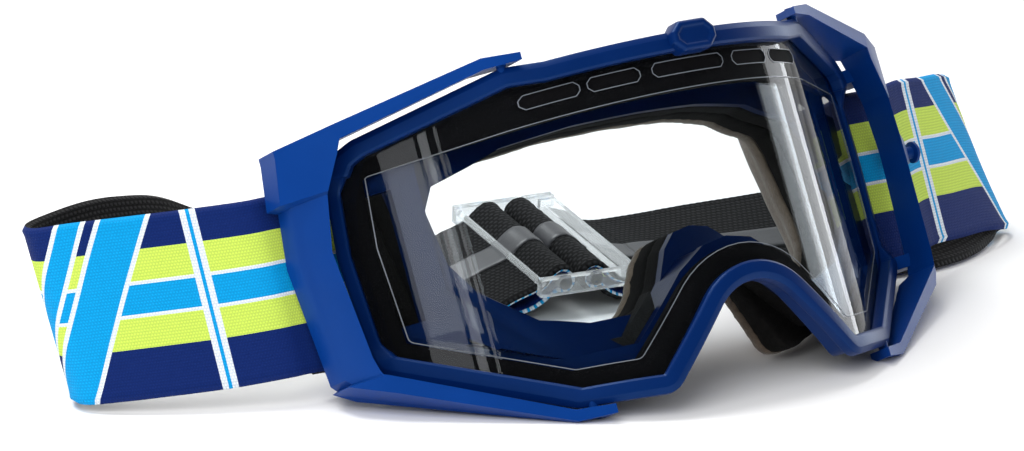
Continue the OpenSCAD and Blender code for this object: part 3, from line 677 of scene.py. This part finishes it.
# %% [markdown]
# The face foam is three layers glued together: firm, soft, and a fleece against the skin.
# Foam has no hard edges, and its crown swells between them. A copy of each CAD layer is
# rebuilt from small even cells, which drops the sharp edges, then relaxed, and its surface
# is moved a little by slow waves, as cut foam is never quite even.

# %% Foam layers
SWELL_MEAN, SWELL_WAVE = 0.35, 0.3


def foam_layer(name, node, cell, relax, swell):
    """Even cells over a CAD layer, neighbours averaged relax times, then every point moved
    along its normal by a sum of slow sine waves, by up to about swell in mm."""
    mesh = cad_copy(name, node)
    mesh.materials.clear()
    merged(mesh, CAD_MERGE)
    reshaped(mesh, wider_opening)
    obj = linked(name, mesh)
    cells = obj.modifiers.new("even cells", "REMESH")
    cells.mode = "VOXEL"
    cells.voxel_size = cell * MM
    soften = obj.modifiers.new("relaxed", "SMOOTH")
    soften.factor = 0.5
    soften.iterations = relax
    graph = bpy.context.evaluated_depsgraph_get()
    soft = bpy.data.meshes.new_from_object(obj.evaluated_get(graph))
    obj.modifiers.clear()
    obj.data = soft
    soft.name = name
    count = len(soft.vertices)
    co = np.empty(count * 3, np.float32)
    normal = np.empty(count * 3, np.float32)
    soft.vertices.foreach_get("co", co)
    soft.vertices.foreach_get("normal", normal)
    co, normal = co.reshape(-1, 3), normal.reshape(-1, 3)
    x, y, z = (co / MM).T
    wave = np.sin(x / 7 + z / 11) * np.sin(z / 6 + 1.3) + 0.6 * np.sin(x / 3.1 + y / 4.3) * np.sin(z / 2.7)
    co += normal * ((SWELL_MEAN + SWELL_WAVE * wave) * swell * MM)[:, None]
    soft.vertices.foreach_set("co", co.ravel())
    shade_smooth(soft)
    soft.update()
    print(name, count, "points")
    return obj


foam_base = foam_layer("foam_base_layer", "face_foam_base", 0.9, 6, 0.3)
foam_core = foam_layer("foam_core_layer", "face_foam_core", 0.9, 8, 0.45)
foam_fleece = foam_layer("fleece_layer", "face_foam_fleece", 0.8, 18, 0.6)
vent_foam = foam_layer("vent_foam_strip", "vent_foam_top", 0.8, 4, 0.2)

# %% [markdown]
# Looks that several finishes share are small node groups. This one gives the slight
# unevenness of anything moulded or cast: a slow change of tone and a fine grain.

# %% A shared grain
def node_group(name, inputs, outputs):
    """An empty shader group with named number or vector inputs and number outputs."""
    group = bpy.data.node_groups.new(name, "ShaderNodeTree")
    for socket, kind, value in inputs:
        made = group.interface.new_socket(name=socket, in_out="INPUT", socket_type=kind)
        if value is not None:
            made.default_value = value
    for socket in outputs:
        group.interface.new_socket(name=socket, in_out="OUTPUT", socket_type="NodeSocketFloat")
    return group, group.nodes.new("NodeGroupInput"), group.nodes.new("NodeGroupOutput")


def math_node(tree, operation, *values, clamp=False):
    """A Math node fed by sockets or plain numbers."""
    node = tree.nodes.new("ShaderNodeMath")
    node.operation = operation
    node.use_clamp = clamp
    for socket, value in zip(node.inputs, values):
        if isinstance(value, (int, float)):
            socket.default_value = value
        else:
            tree.links.new(value, socket)
    return node.outputs[0]


grain, into, out = node_group("grain", [
    ("Vector", "NodeSocketVector", None), ("Slow", "NodeSocketFloat", 60.0), ("Fine", "NodeSocketFloat", 1500.0)],
    ["Tone", "Height"])
for scale, socket, detail in (("Slow", "Tone", 3.0), ("Fine", "Height", 2.0)):
    noise = grain.nodes.new("ShaderNodeTexNoise")
    noise.inputs["Detail"].default_value = detail
    grain.links.new(into.outputs["Vector"], noise.inputs["Vector"])
    grain.links.new(into.outputs[scale], noise.inputs["Scale"])
    grain.links.new(noise.outputs["Fac"], out.inputs[socket])

# %% [markdown]
# Webbing is made of cords that run along it and are bound across. Two sine waves on the
# cloth's own map, one across and one along, give the ribs and the crossings. The map
# counts the width from 0 to 1 and the length in parts of 400 mm, and it follows the strap
# round every bend, which a pattern placed in space can't do. Every second cord has its
# crossings half a step further on, as woven cords do. The spaces between the cords are
# given out as a painted shade, which darkens the colour there.

# %% A shared weave
weave, into, out = node_group("weave", [
    ("Cloth", "NodeSocketVector", None), ("Cords", "NodeSocketFloat", 34.0), ("Picks", "NodeSocketFloat", 420.0)],
    ["Height", "Painted_shade"])
split = weave.nodes.new("ShaderNodeSeparateXYZ")
weave.links.new(into.outputs["Cloth"], split.inputs[0])


def ripple(position, count, shift=0.0):
    """Half of one plus the sine of 2 pi times the count of ripples passed."""
    turns = math_node(weave, "MULTIPLY", position, count)
    turns = math_node(weave, "ADD", turns, shift)
    turns = math_node(weave, "MULTIPLY", turns, 2 * math.pi)
    wave = math_node(weave, "SINE", turns)
    return math_node(weave, "MULTIPLY_ADD", wave, 0.5, 0.5)


cords = ripple(split.outputs["X"], into.outputs["Cords"])
half = math_node(weave, "MULTIPLY", split.outputs["X"], into.outputs["Cords"])
half = math_node(weave, "FLOOR", half)
half = math_node(weave, "MULTIPLY", half, 0.5)
picks = ripple(split.outputs["Y"], into.outputs["Picks"], half)
both = math_node(weave, "MULTIPLY", cords, picks)
weave.links.new(both, out.inputs["Height"])
# Where both waves are low, between the cords, this output darkens the colour: a painted shade
gap_painted_shade = math_node(weave, "POWER", math_node(weave, "SUBTRACT", 1.0, both), 3.0)
weave.links.new(gap_painted_shade, out.inputs["Painted_shade"])
print("node groups:", grain.name, "and", weave.name)

# %% [markdown]
# Each finish is a Principled shader with its own colour, roughness and bump. Colours are
# written as the eye sees them, from 0 to 255, and turned into the light values that
# Blender works in.

# %% Helpers for finishes
def seen(r, g, b):
    """Screen values from 0 to 255 turned into linear light, by the sRGB curve."""
    part = [v / 255 for v in (r, g, b)]
    return [v / 12.92 if v <= 0.04045 else ((v + 0.055) / 1.055) ** 2.4 for v in part] + [1.0]


def finish(name, roughness, **sockets):
    """A new material, with its node tree and its shader to hang nodes on."""
    material = bpy.data.materials.new(name)
    material.use_nodes = True
    shader = material.node_tree.nodes["Principled BSDF"]
    shader.inputs["Roughness"].default_value = roughness
    for socket, value in sockets.items():
        shader.inputs[socket.replace("_", " ")].default_value = value
    return material, material.node_tree, shader


def mixed(tree, factor, a, b, mode="MIX"):
    """Two colours, or colour sockets, mixed by a factor socket."""
    node = tree.nodes.new("ShaderNodeMix")
    node.data_type = "RGBA"
    node.blend_type = mode
    for socket, value in ((node.inputs["Factor"], factor), (node.inputs[6], a), (node.inputs[7], b)):
        if isinstance(value, (list, tuple, float, int)):
            socket.default_value = value
        else:
            tree.links.new(value, socket)
    return node.outputs[2]


def placed(tree, group, **values):
    """A shared group placed in a material with its own values."""
    node = tree.nodes.new("ShaderNodeGroup")
    node.node_tree = group
    for socket, value in values.items():
        node.inputs[socket].default_value = value
    return node


def bumped(tree, shader, height, relief):
    """A height from 0 to 1, as relief of so many mm, fed to the shader's normal."""
    bump = tree.nodes.new("ShaderNodeBump")
    bump.inputs["Distance"].default_value = relief * MM
    bump.inputs["Strength"].default_value = 1.0
    tree.links.new(height, bump.inputs["Height"])
    tree.links.new(bump.outputs["Normal"], shader.inputs["Normal"])


def spread(tree, value, low, high):
    """A 0 to 1 value stretched between two numbers."""
    node = tree.nodes.new("ShaderNodeMapRange")
    node.inputs["To Min"].default_value = low
    node.inputs["To Max"].default_value = high
    tree.links.new(value, node.inputs["Value"])
    return node.outputs[0]


def grained(name, dark, light, rough, relief, slow=60.0, fine=1500.0, **sockets):
    """A finish whose tone, roughness and relief all come from the shared grain."""
    material, tree, shader = finish(name, rough[0], **sockets)
    where = tree.nodes.new("ShaderNodeTexCoord")
    node = placed(tree, grain, Slow=slow, Fine=fine)
    tree.links.new(where.outputs["Object"], node.inputs["Vector"])
    tree.links.new(mixed(tree, node.outputs["Tone"], dark, light), shader.inputs["Base Color"])
    tree.links.new(spread(tree, node.outputs["Tone"], rough[0], rough[1]), shader.inputs["Roughness"])
    bumped(tree, shader, node.outputs["Height"], relief)
    return material


# %% [markdown]
# The frame is dyed nylon with a semi-gloss face. Its one blue is painted lighter on the arms
# as painted light, and darker on the rim, its tab and the inner frame as painted shade. Foam
# is matt and open. The fleece is a short brown pile with a soft sheen along its edges.

# %% Frame, pins and foams
BLUE_GLOSS = {"Specular_IOR_Level": 0.3, "Specular_Tint": (0.3, 0.6, 1.0, 1.0)}
MATT = {"Specular_IOR_Level": 0.15}
# One blue in three copies: lighter for the arms as painted light, darker for the rim and tab, and darker still for the
# inner frame, as painted shade
arm_blue_painted_light = grained("arm_blue_painted_light", seen(3, 48, 118), seen(5, 56, 134), (0.3, 0.4), 0.02, **BLUE_GLOSS)
frame_blue_painted_shade = grained("frame_blue_painted_shade", seen(2, 30, 82), seen(4, 38, 98), (0.3, 0.4), 0.02, **BLUE_GLOSS)
inner_blue_painted_shade = grained("inner_blue_painted_shade", seen(2, 18, 56), seen(3, 24, 70), (0.35, 0.45), 0.02, **BLUE_GLOSS)
pin_blue = grained("pin_blue", seen(3, 42, 104), seen(5, 50, 122), (0.4, 0.5), 0.02, **BLUE_GLOSS)
spacer_black = grained("spacer_black", seen(8, 8, 10), seen(16, 16, 18), (0.8, 0.95), 0.08, fine=2500.0, **MATT)
foam_black = grained("foam_black", seen(14, 14, 15), seen(34, 33, 32), (0.85, 0.98), 0.22,
                     slow=900.0, fine=1900.0, **MATT)
filter_black = grained("filter_black", seen(12, 12, 12), seen(38, 38, 38), (0.9, 1.0), 0.3, slow=700.0, fine=1300.0)
fleece_brown = grained("fleece_brown", seen(92, 80, 68), seen(140, 124, 108), (0.9, 1.0), 0.25,
                       slow=900.0, fine=2200.0, Sheen_Weight=0.35, Sheen_Roughness=0.5)
print("frame, pin and foam finishes are made")

# %% [markdown]
# The lens is a thin sheet, so what lies behind it isn't bent: a see-through shader shows
# it, and a mirror is laid over it that grows stronger at a glancing view. The adjuster is
# a thick clear piece and bends light as glass does. Shadows pass through both.

# %% Clear plastics
def see_through(tree, tint):
    """A shader that lets light pass straight on, tinted."""
    node = tree.nodes.new("ShaderNodeBsdfTransparent")
    node.inputs[0].default_value = tint
    return node.outputs[0]


def two_shaders(tree, share, first, second):
    """The surface is (1 - share) of the first shader and share of the second."""
    mix = tree.nodes.new("ShaderNodeMixShader")
    for socket, source in zip(mix.inputs, (share, first, second)):
        tree.links.new(source, socket)
    tree.links.new(mix.outputs[0], tree.nodes["Material Output"].inputs["Surface"])


def clear_sheet(name, tint, ior, roughness):
    """See-through, with a mirror on the side that faces out. The mirror's share grows with
    the angle between the view and the surface's normal."""
    material, tree, shader = finish(name, roughness)
    tree.nodes.remove(shader)
    mirror = tree.nodes.new("ShaderNodeBsdfGlossy")
    mirror.inputs["Roughness"].default_value = roughness
    glance = tree.nodes.new("ShaderNodeFresnel")
    glance.inputs["IOR"].default_value = ior
    side = tree.nodes.new("ShaderNodeNewGeometry")
    front = math_node(tree, "SUBTRACT", 1.0, side.outputs["Backfacing"])
    share = math_node(tree, "MULTIPLY", glance.outputs[0], front)
    two_shaders(tree, share, see_through(tree, tint), mirror.outputs[0])
    return material


def clear_plastic(name, tint, ior, roughness):
    """Glass for the eye and for reflections, plain see-through for shadow rays."""
    material, tree, shader = finish(name, roughness, Transmission_Weight=0.8, IOR=ior, Base_Color=tint)
    path = tree.nodes.new("ShaderNodeLightPath")
    two_shaders(tree, path.outputs["Is Shadow Ray"], shader.outputs[0], see_through(tree, tint))
    return material


lens_clear = clear_sheet("lens_clear", (0.965, 0.98, 0.985, 1), 1.36, 0.01)
# Light grey for the bright lines that cut edges show: a painted highlight
edge_painted_highlight = grained("edge_painted_highlight", seen(92, 98, 106), seen(132, 138, 146), (0.15, 0.25), 0.01)
adjuster_clear = clear_plastic("adjuster_clear", (0.95, 0.965, 0.97, 1), 1.3, 0.08)
print("clear finishes:", lens_clear.name, "and", adjuster_clear.name)

# %% [markdown]
# The strap's outside is printed with stripes that run along it: dark blue edges, two
# yellow-green bands and a light blue middle with thin white lines beside it. Near each
# arm slanted bars and one upright band are laid over them. All of it is drawn by rules on
# the cloth's own map, so the print bends with the strap. The loops have stitched edges.

# %% The printed side
NAVY, LIME, CYAN, WHITE = seen(8, 38, 104), seen(212, 238, 96), seen(0, 162, 226), seen(236, 242, 246)
STRIPES = [
    (0.0, NAVY), (0.27, LIME), (0.44, WHITE), (0.458, CYAN), (0.62, WHITE), (0.638, LIME), (0.81, NAVY)]
BARS, BAR_BORDER, LEAN_OF_BARS = [(101.0, 10.0), (113.0, 5.0)], 1.2, 0.55
UPRIGHT_AT, UPRIGHT = 63.0, ((3.8, WHITE), (0.9, CYAN))
STITCH_EVERY, STITCH_SHARE, SEWN_INSIDE = 2.0, 0.6, 0.972
# The last number on the next line is how far the spaces between cords are darkened, as painted shade
FINE_WEAVE, FINE_RELIEF, GAP_PAINTED_SHADE = {"Cords": 60.0, "Picks": 560.0}, 0.1, 0.35
COARSE_WEAVE, COARSE_RELIEF = {"Cords": 34.0, "Picks": 290.0}, 0.3


def stripes(tree, across):
    """Plain bands over the width, from the lower edge to the upper."""
    ramp = tree.nodes.new("ShaderNodeValToRGB")
    ramp.color_ramp.interpolation = "CONSTANT"
    while len(ramp.color_ramp.elements) < len(STRIPES):
        ramp.color_ramp.elements.new(0.5)
    for element, (place, colour) in zip(ramp.color_ramp.elements, STRIPES):
        element.position = place
        element.color = colour
    tree.links.new(across, ramp.inputs[0])
    return ramp.outputs[0]


def within(tree, value, middle, width):
    """1 where the value is less than half of the width from the middle, else 0."""
    away = math_node(tree, "ABSOLUTE", math_node(tree, "SUBTRACT", value, middle))
    return math_node(tree, "LESS_THAN", away, width / 2)


def with_bars(tree, base, across, along):
    """Slanted bars with white borders, and one upright band, laid over the stripes. The
    length is in mm, and the slant adds a share of the width to it."""
    slant = math_node(tree, "MULTIPLY", across, STRAP_W * LEAN_OF_BARS)
    slanted = math_node(tree, "ADD", along, slant)
    for middle, width in BARS:
        base = mixed(tree, within(tree, slanted, middle, width + 2 * BAR_BORDER), base, WHITE)
        base = mixed(tree, within(tree, slanted, middle, width), base, CYAN)
    for width, colour in UPRIGHT:
        base = mixed(tree, within(tree, along, UPRIGHT_AT, width), base, colour)
    return base


def with_sewn_edges(tree, base, across, along):
    """Blue edges with white stitches, where the share of each stitch's step is below
    STITCH_SHARE; the base stays inside them."""
    steps = math_node(tree, "FRACT", math_node(tree, "MULTIPLY", along, 1 / STITCH_EVERY))
    seam = mixed(tree, math_node(tree, "LESS_THAN", steps, STITCH_SHARE), CYAN, WHITE)
    return mixed(tree, within(tree, across, 0.5, SEWN_INSIDE), seam, base)


def webbing(name, printed, edged=False):
    """The weave with either the print, which can have sewn edges, or plain black cords."""
    material, tree, shader = finish(name, 0.8, Specular_IOR_Level=0.2)
    cloth = tree.nodes.new("ShaderNodeUVMap")
    cloth.uv_map = "cloth"
    parts = tree.nodes.new("ShaderNodeSeparateXYZ")
    tree.links.new(cloth.outputs[0], parts.inputs[0])
    node = placed(tree, weave, **(FINE_WEAVE if printed else COARSE_WEAVE))
    tree.links.new(cloth.outputs[0], node.inputs["Cloth"])
    if printed:
        across = parts.outputs["X"]
        along = math_node(tree, "MULTIPLY", parts.outputs["Y"], CLOTH_UNIT)
        base = with_bars(tree, stripes(tree, across), across, along)
        if edged:
            base = with_sewn_edges(tree, base, across, along)
        # The printed colour is darkened between the cords: a painted shade
        shade = math_node(tree, "MULTIPLY", node.outputs["Painted_shade"], GAP_PAINTED_SHADE)
        colour = mixed(tree, shade, base, seen(120, 140, 176), "MULTIPLY")
    else:
        # The black cords turn darker between them: a painted shade
        colour = mixed(tree, node.outputs["Painted_shade"], seen(38, 38, 40), seen(12, 12, 13))
    tree.links.new(colour, shader.inputs["Base Color"])
    bumped(tree, shader, node.outputs["Height"], FINE_RELIEF if printed else COARSE_RELIEF)
    return material


strap_print = webbing("strap_print", True)
strap_edged = webbing("strap_edged", True, True)
strap_black = webbing("strap_black", False)
silicone_grey = grained("silicone_grey", seen(60, 60, 63), seen(76, 76, 80), (0.32, 0.42), 0.03)
print("strap finishes:", strap_print.name, strap_edged.name, strap_black.name, silicone_grey.name)

# %% [markdown]
# Each piece gets its finish, and the CAD solids that it stands for are hidden. Most pieces
# move with the right part of the goggles. The straps and their loops cross a joint and get no
# body; a depth behind the arm's bar and one a little further back, and two places beside the
# adjuster, are worked out for them but not used.

# %% Finishes and bodies
BEND_FROM, BEND_TO = 66.5, 84.0
STRETCH_FROM, STRETCH_TO = 25.0, 9.0


def at_depth(y):
    """A point on the plane y = const of the goggles' frame, in metres."""
    return tuple((stand(0.0, y, 0.0) * MM).tolist())


def dressed(obj, materials, body, nodes):
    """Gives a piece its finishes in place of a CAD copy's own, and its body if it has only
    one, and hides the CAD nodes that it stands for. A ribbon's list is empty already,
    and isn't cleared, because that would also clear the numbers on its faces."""
    if len(obj.data.materials):
        obj.data.materials.clear()
    for material in materials:
        obj.data.materials.append(material)
    if body:
        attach(obj, body)
    if nodes:
        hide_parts(*nodes)


def along_adjuster(x):
    """A point on the adjuster's own X axis, in metres."""
    return tuple((on_adjuster(x, 0, 0) * MM).tolist())


# The arms wear the lighter copy of the blue, which is painted light; the rim, tab and inner frame wear darker copies,
# which are painted shade
dressed(rim, [frame_blue_painted_shade], "goggles", ["front_rim"])
dressed(tab, [frame_blue_painted_shade], "goggles", [])
# The lines round the slots and the spacer carry a painted highlight
for line in painted_highlight_lines:
    dressed(line, [edge_painted_highlight], "goggles", [])
dressed(inner_frame, [inner_blue_painted_shade], "goggles", ["face_frame"])
dressed(arm_left, [arm_blue_painted_light], "arm_left", ["outrigger_left"])
dressed(arm_right, [arm_blue_painted_light], "arm_right", ["outrigger_right"])
dressed(adjuster, [adjuster_clear], "adjuster", ["strap_adjuster"])
dressed(foam_base, [foam_black], "goggles", ["face_foam_base"])
dressed(foam_core, [foam_black], "goggles", ["face_foam_core"])
dressed(foam_fleece, [fleece_brown], "goggles", ["face_foam_fleece"])
dressed(vent_foam, [filter_black], "goggles", ["vent_foam_top"])
for strap, arm, nodes in (
        (strap_left, "arm_left", ["strap_left", "strap_end_left"]),
        (strap_right, "arm_right", ["strap_right", "strap_end_right"])):
    dressed(strap, [strap_print, strap_black], None, nodes)
    at_depth(BEND_FROM)
    at_depth(BEND_TO)
    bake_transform(strap)
dressed(grip_left, [silicone_grey], "goggles", ["strap_grip_left"])
dressed(grip_right, [silicone_grey], "goggles", ["strap_grip_right"])
for loop, loop_grip, node, side in (
        (loop_left, loop_grip_left, "strap_loop_left", -1), (loop_right, loop_grip_right, "strap_loop_right", 1)):
    dressed(loop, [strap_edged, strap_black], None, [node])
    dressed(loop_grip, [silicone_grey], None, [])
    for part in (loop, loop_grip):
        along_adjuster(side * STRETCH_FROM)
        along_adjuster(side * STRETCH_TO)
        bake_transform(part)
CAD_FINISH = {
    "lens_outer": lens_clear, "lens_inner": lens_clear, "lens_spacer": spacer_black,
    "vent_foam_low_left": filter_black, "vent_foam_low_right": filter_black,
    "outrigger_pins_left": pin_blue, "outrigger_pins_right": pin_blue, "tear_off_post": pin_blue}
for node, material in CAD_FINISH.items():
    for slot in frame["nodes"][node].material_slots:
        slot.material = material
print(len(CAD_FINISH), "CAD nodes keep their shape and have new finishes")

# %% [markdown]
# A product picture stands on a pale sweep. A flat sheet far wider than the view does for
# that here. It has no shine of its own, so nothing bright is mirrored in it, and it only
# takes the goggles' soft shadow.

# %% The floor
FLOOR_HALF = 6.0


def stage_sheet(name, corners, material):
    """A flat sheet with four corners in metres, which isn't part of the goggles."""
    mesh = bpy.data.meshes.new(name)
    mesh.from_pydata(corners, [], [(0, 1, 2, 3)])
    mesh.materials.append(material)
    obj = linked(name, mesh)
    return obj


floor_white = finish("floor_white", 0.6, Specular_IOR_Level=0.0, Base_Color=(0.96, 0.96, 0.965, 1))[0]
stage_sheet("floor", [(x * FLOOR_HALF, y * FLOOR_HALF, 0) for x, y in ((-1, -1), (1, -1), (1, 1), (-1, 1))],
            floor_white)
print("floor is", 2 * FLOOR_HALF, "m wide")

# %% [markdown]
# White all round would show in every glossy face and wash the colours out. Photographers
# hang black cloth there, so a dark dome stands on the camera's side and overhead. The camera,
# diffuse light and shadows pass by it, so only reflections and light bent through clear
# plastic see it, and a gap at the back keeps the white ground in the lens.

# %% Black cloth for reflections
FLAG_TURNS, FLAG_RISES = 49, 17


def flag_dome(radius, open_half, lowest):
    """Part of a sphere: all compass directions but those near straight behind the goggles."""
    behind = math.atan2(VIEW_AHEAD[1], VIEW_AHEAD[0])
    turn = np.linspace(behind + open_half, behind + 2 * math.pi - open_half, FLAG_TURNS)
    rise = np.linspace(lowest, math.radians(89), FLAG_RISES)
    turn, rise = np.meshgrid(turn, rise, indexing="ij")
    points = radius * np.stack([np.cos(turn) * np.cos(rise), np.sin(turn) * np.cos(rise), np.sin(rise)], axis=-1)
    return piece("flag_dome", points.reshape(-1, 3), grid_faces(FLAG_TURNS, FLAG_RISES, False, False))


flag = flag_dome(4000.0, math.radians(62), math.radians(1))
flag_black = finish("flag_black", 1.0, Specular_IOR_Level=0.0, Base_Color=(0.02, 0.02, 0.02, 1))[0]
flag.data.materials.append(flag_black)
flag.visible_camera = flag.visible_diffuse = flag.visible_shadow = False

# %% [markdown]
# A mirror shows what its surface points at. From a point on the lens, the camera's line is
# reflected about the normal there, and a bright panel hung on that line shows as an
# upright strip at that point. Light and the camera pass by the panels, and only glossy
# surfaces see them, so they don't change how the rest is lit.

# %% Panels that show in the lens
PANEL_HALF_TALL = 300
# Each has its place across the lens, its width and its distance in mm, and its strength
PANELS = [
    (-61.8, 12.5, 500.0, 3.0), (-57.0, 3.0, 490.0, 5.5), (-54.6, 1.0, 500.0, 4.0),
    (29.0, 130.0, 420.0, 4.0), (32.5, 30.0, 405.0, 8.0)]


def reflected_panel(name, x, width, away, power):
    """A panel seen in the lens at local x. The view's direction, less twice its part along
    the normal there, points at the panel's middle, which is away mm from the lens."""
    edge = LENS_R * math.sin(WRAP)
    turn = math.asin(max(-edge, min(edge, x)) / LENS_R)
    y = LENS_R * (1 - math.cos(turn)) + max(abs(x) - edge, 0) * math.tan(WRAP)
    base = stand(0.0, 0.0, 0.0)
    point = stand(x, y, 0.0)
    normal = stand(math.sin(turn), -math.cos(turn), 0.0) - base
    upright = stand(0.0, 0.0, 1.0) - base
    line = point - np.array(camera.matrix_world.translation) / MM
    line /= np.linalg.norm(line)
    back = line - 2 * (line @ normal) * normal
    across = np.cross(upright, back)
    across *= width / 2 / np.linalg.norm(across)
    middle = point + back * away
    tall = upright * PANEL_HALF_TALL
    corners = [middle - across - tall, middle + across - tall, middle + across + tall, middle - across + tall]
    glow = finish(name, 1.0, Base_Color=(0, 0, 0, 1), Emission_Color=(0.93, 0.96, 1.0, 1), Emission_Strength=power)
    panel = stage_sheet(name, [tuple(c * MM) for c in corners], glow[0])
    panel.visible_camera = panel.visible_diffuse = panel.visible_shadow = panel.visible_transmission = False


for number, (x, width, away, power) in enumerate(PANELS, 1):
    reflected_panel(f"panel_{number}", x, width, away, power)
print(len(PANELS), "panels hang round the lens")

# %% [markdown]
# The key lamp hangs high behind the goggles, so their shadow falls towards the camera, and
# a wider lamp in front fills it. Mirrors don't see the fill, which would lie as haze over
# the lens. The world is white to look at and half as bright where it lights the goggles,
# and together they let a colour render as it is written.

# %% Lamps and world
def area_lamp(name, place, side, power):
    """A square soft box at a place, turned so that its back points away from the origin."""
    data = bpy.data.lights.new(name, "AREA")
    data.shape = "RECTANGLE"
    data.size = data.size_y = side
    data.energy = power
    lamp = linked(name, data)
    turn = Vector(place).to_track_quat("Z", "Y").to_matrix().to_4x4()
    turn.translation = place
    lamp.matrix_world = turn
    print(name, "lamp of", power, "W")
    return lamp


area_lamp("key", (-0.25, 0.55, 1.25), 0.7, 14)
fill = area_lamp("fill", (-0.9, -0.6, 0.9), 1.1, 12)
fill.visible_glossy = False
world = bpy.data.worlds.new("studio")
world.use_nodes = True
bpy.context.scene.world = world
tree = world.node_tree
background = tree.nodes["Background"]
path = tree.nodes.new("ShaderNodeLightPath")
seen_ray = math_node(tree, "ADD", path.outputs["Is Camera Ray"], path.outputs["Is Glossy Ray"])
seen_ray = math_node(tree, "ADD", seen_ray, path.outputs["Is Transmission Ray"], clamp=True)
background.inputs["Color"].default_value = (1, 1, 1, 1)
tree.links.new(spread(tree, seen_ray, 0.5, 1.0), background.inputs["Strength"])

# %% [markdown]
# The last cell brings the scene up to date.

# %% The end
bpy.context.view_layer.update()
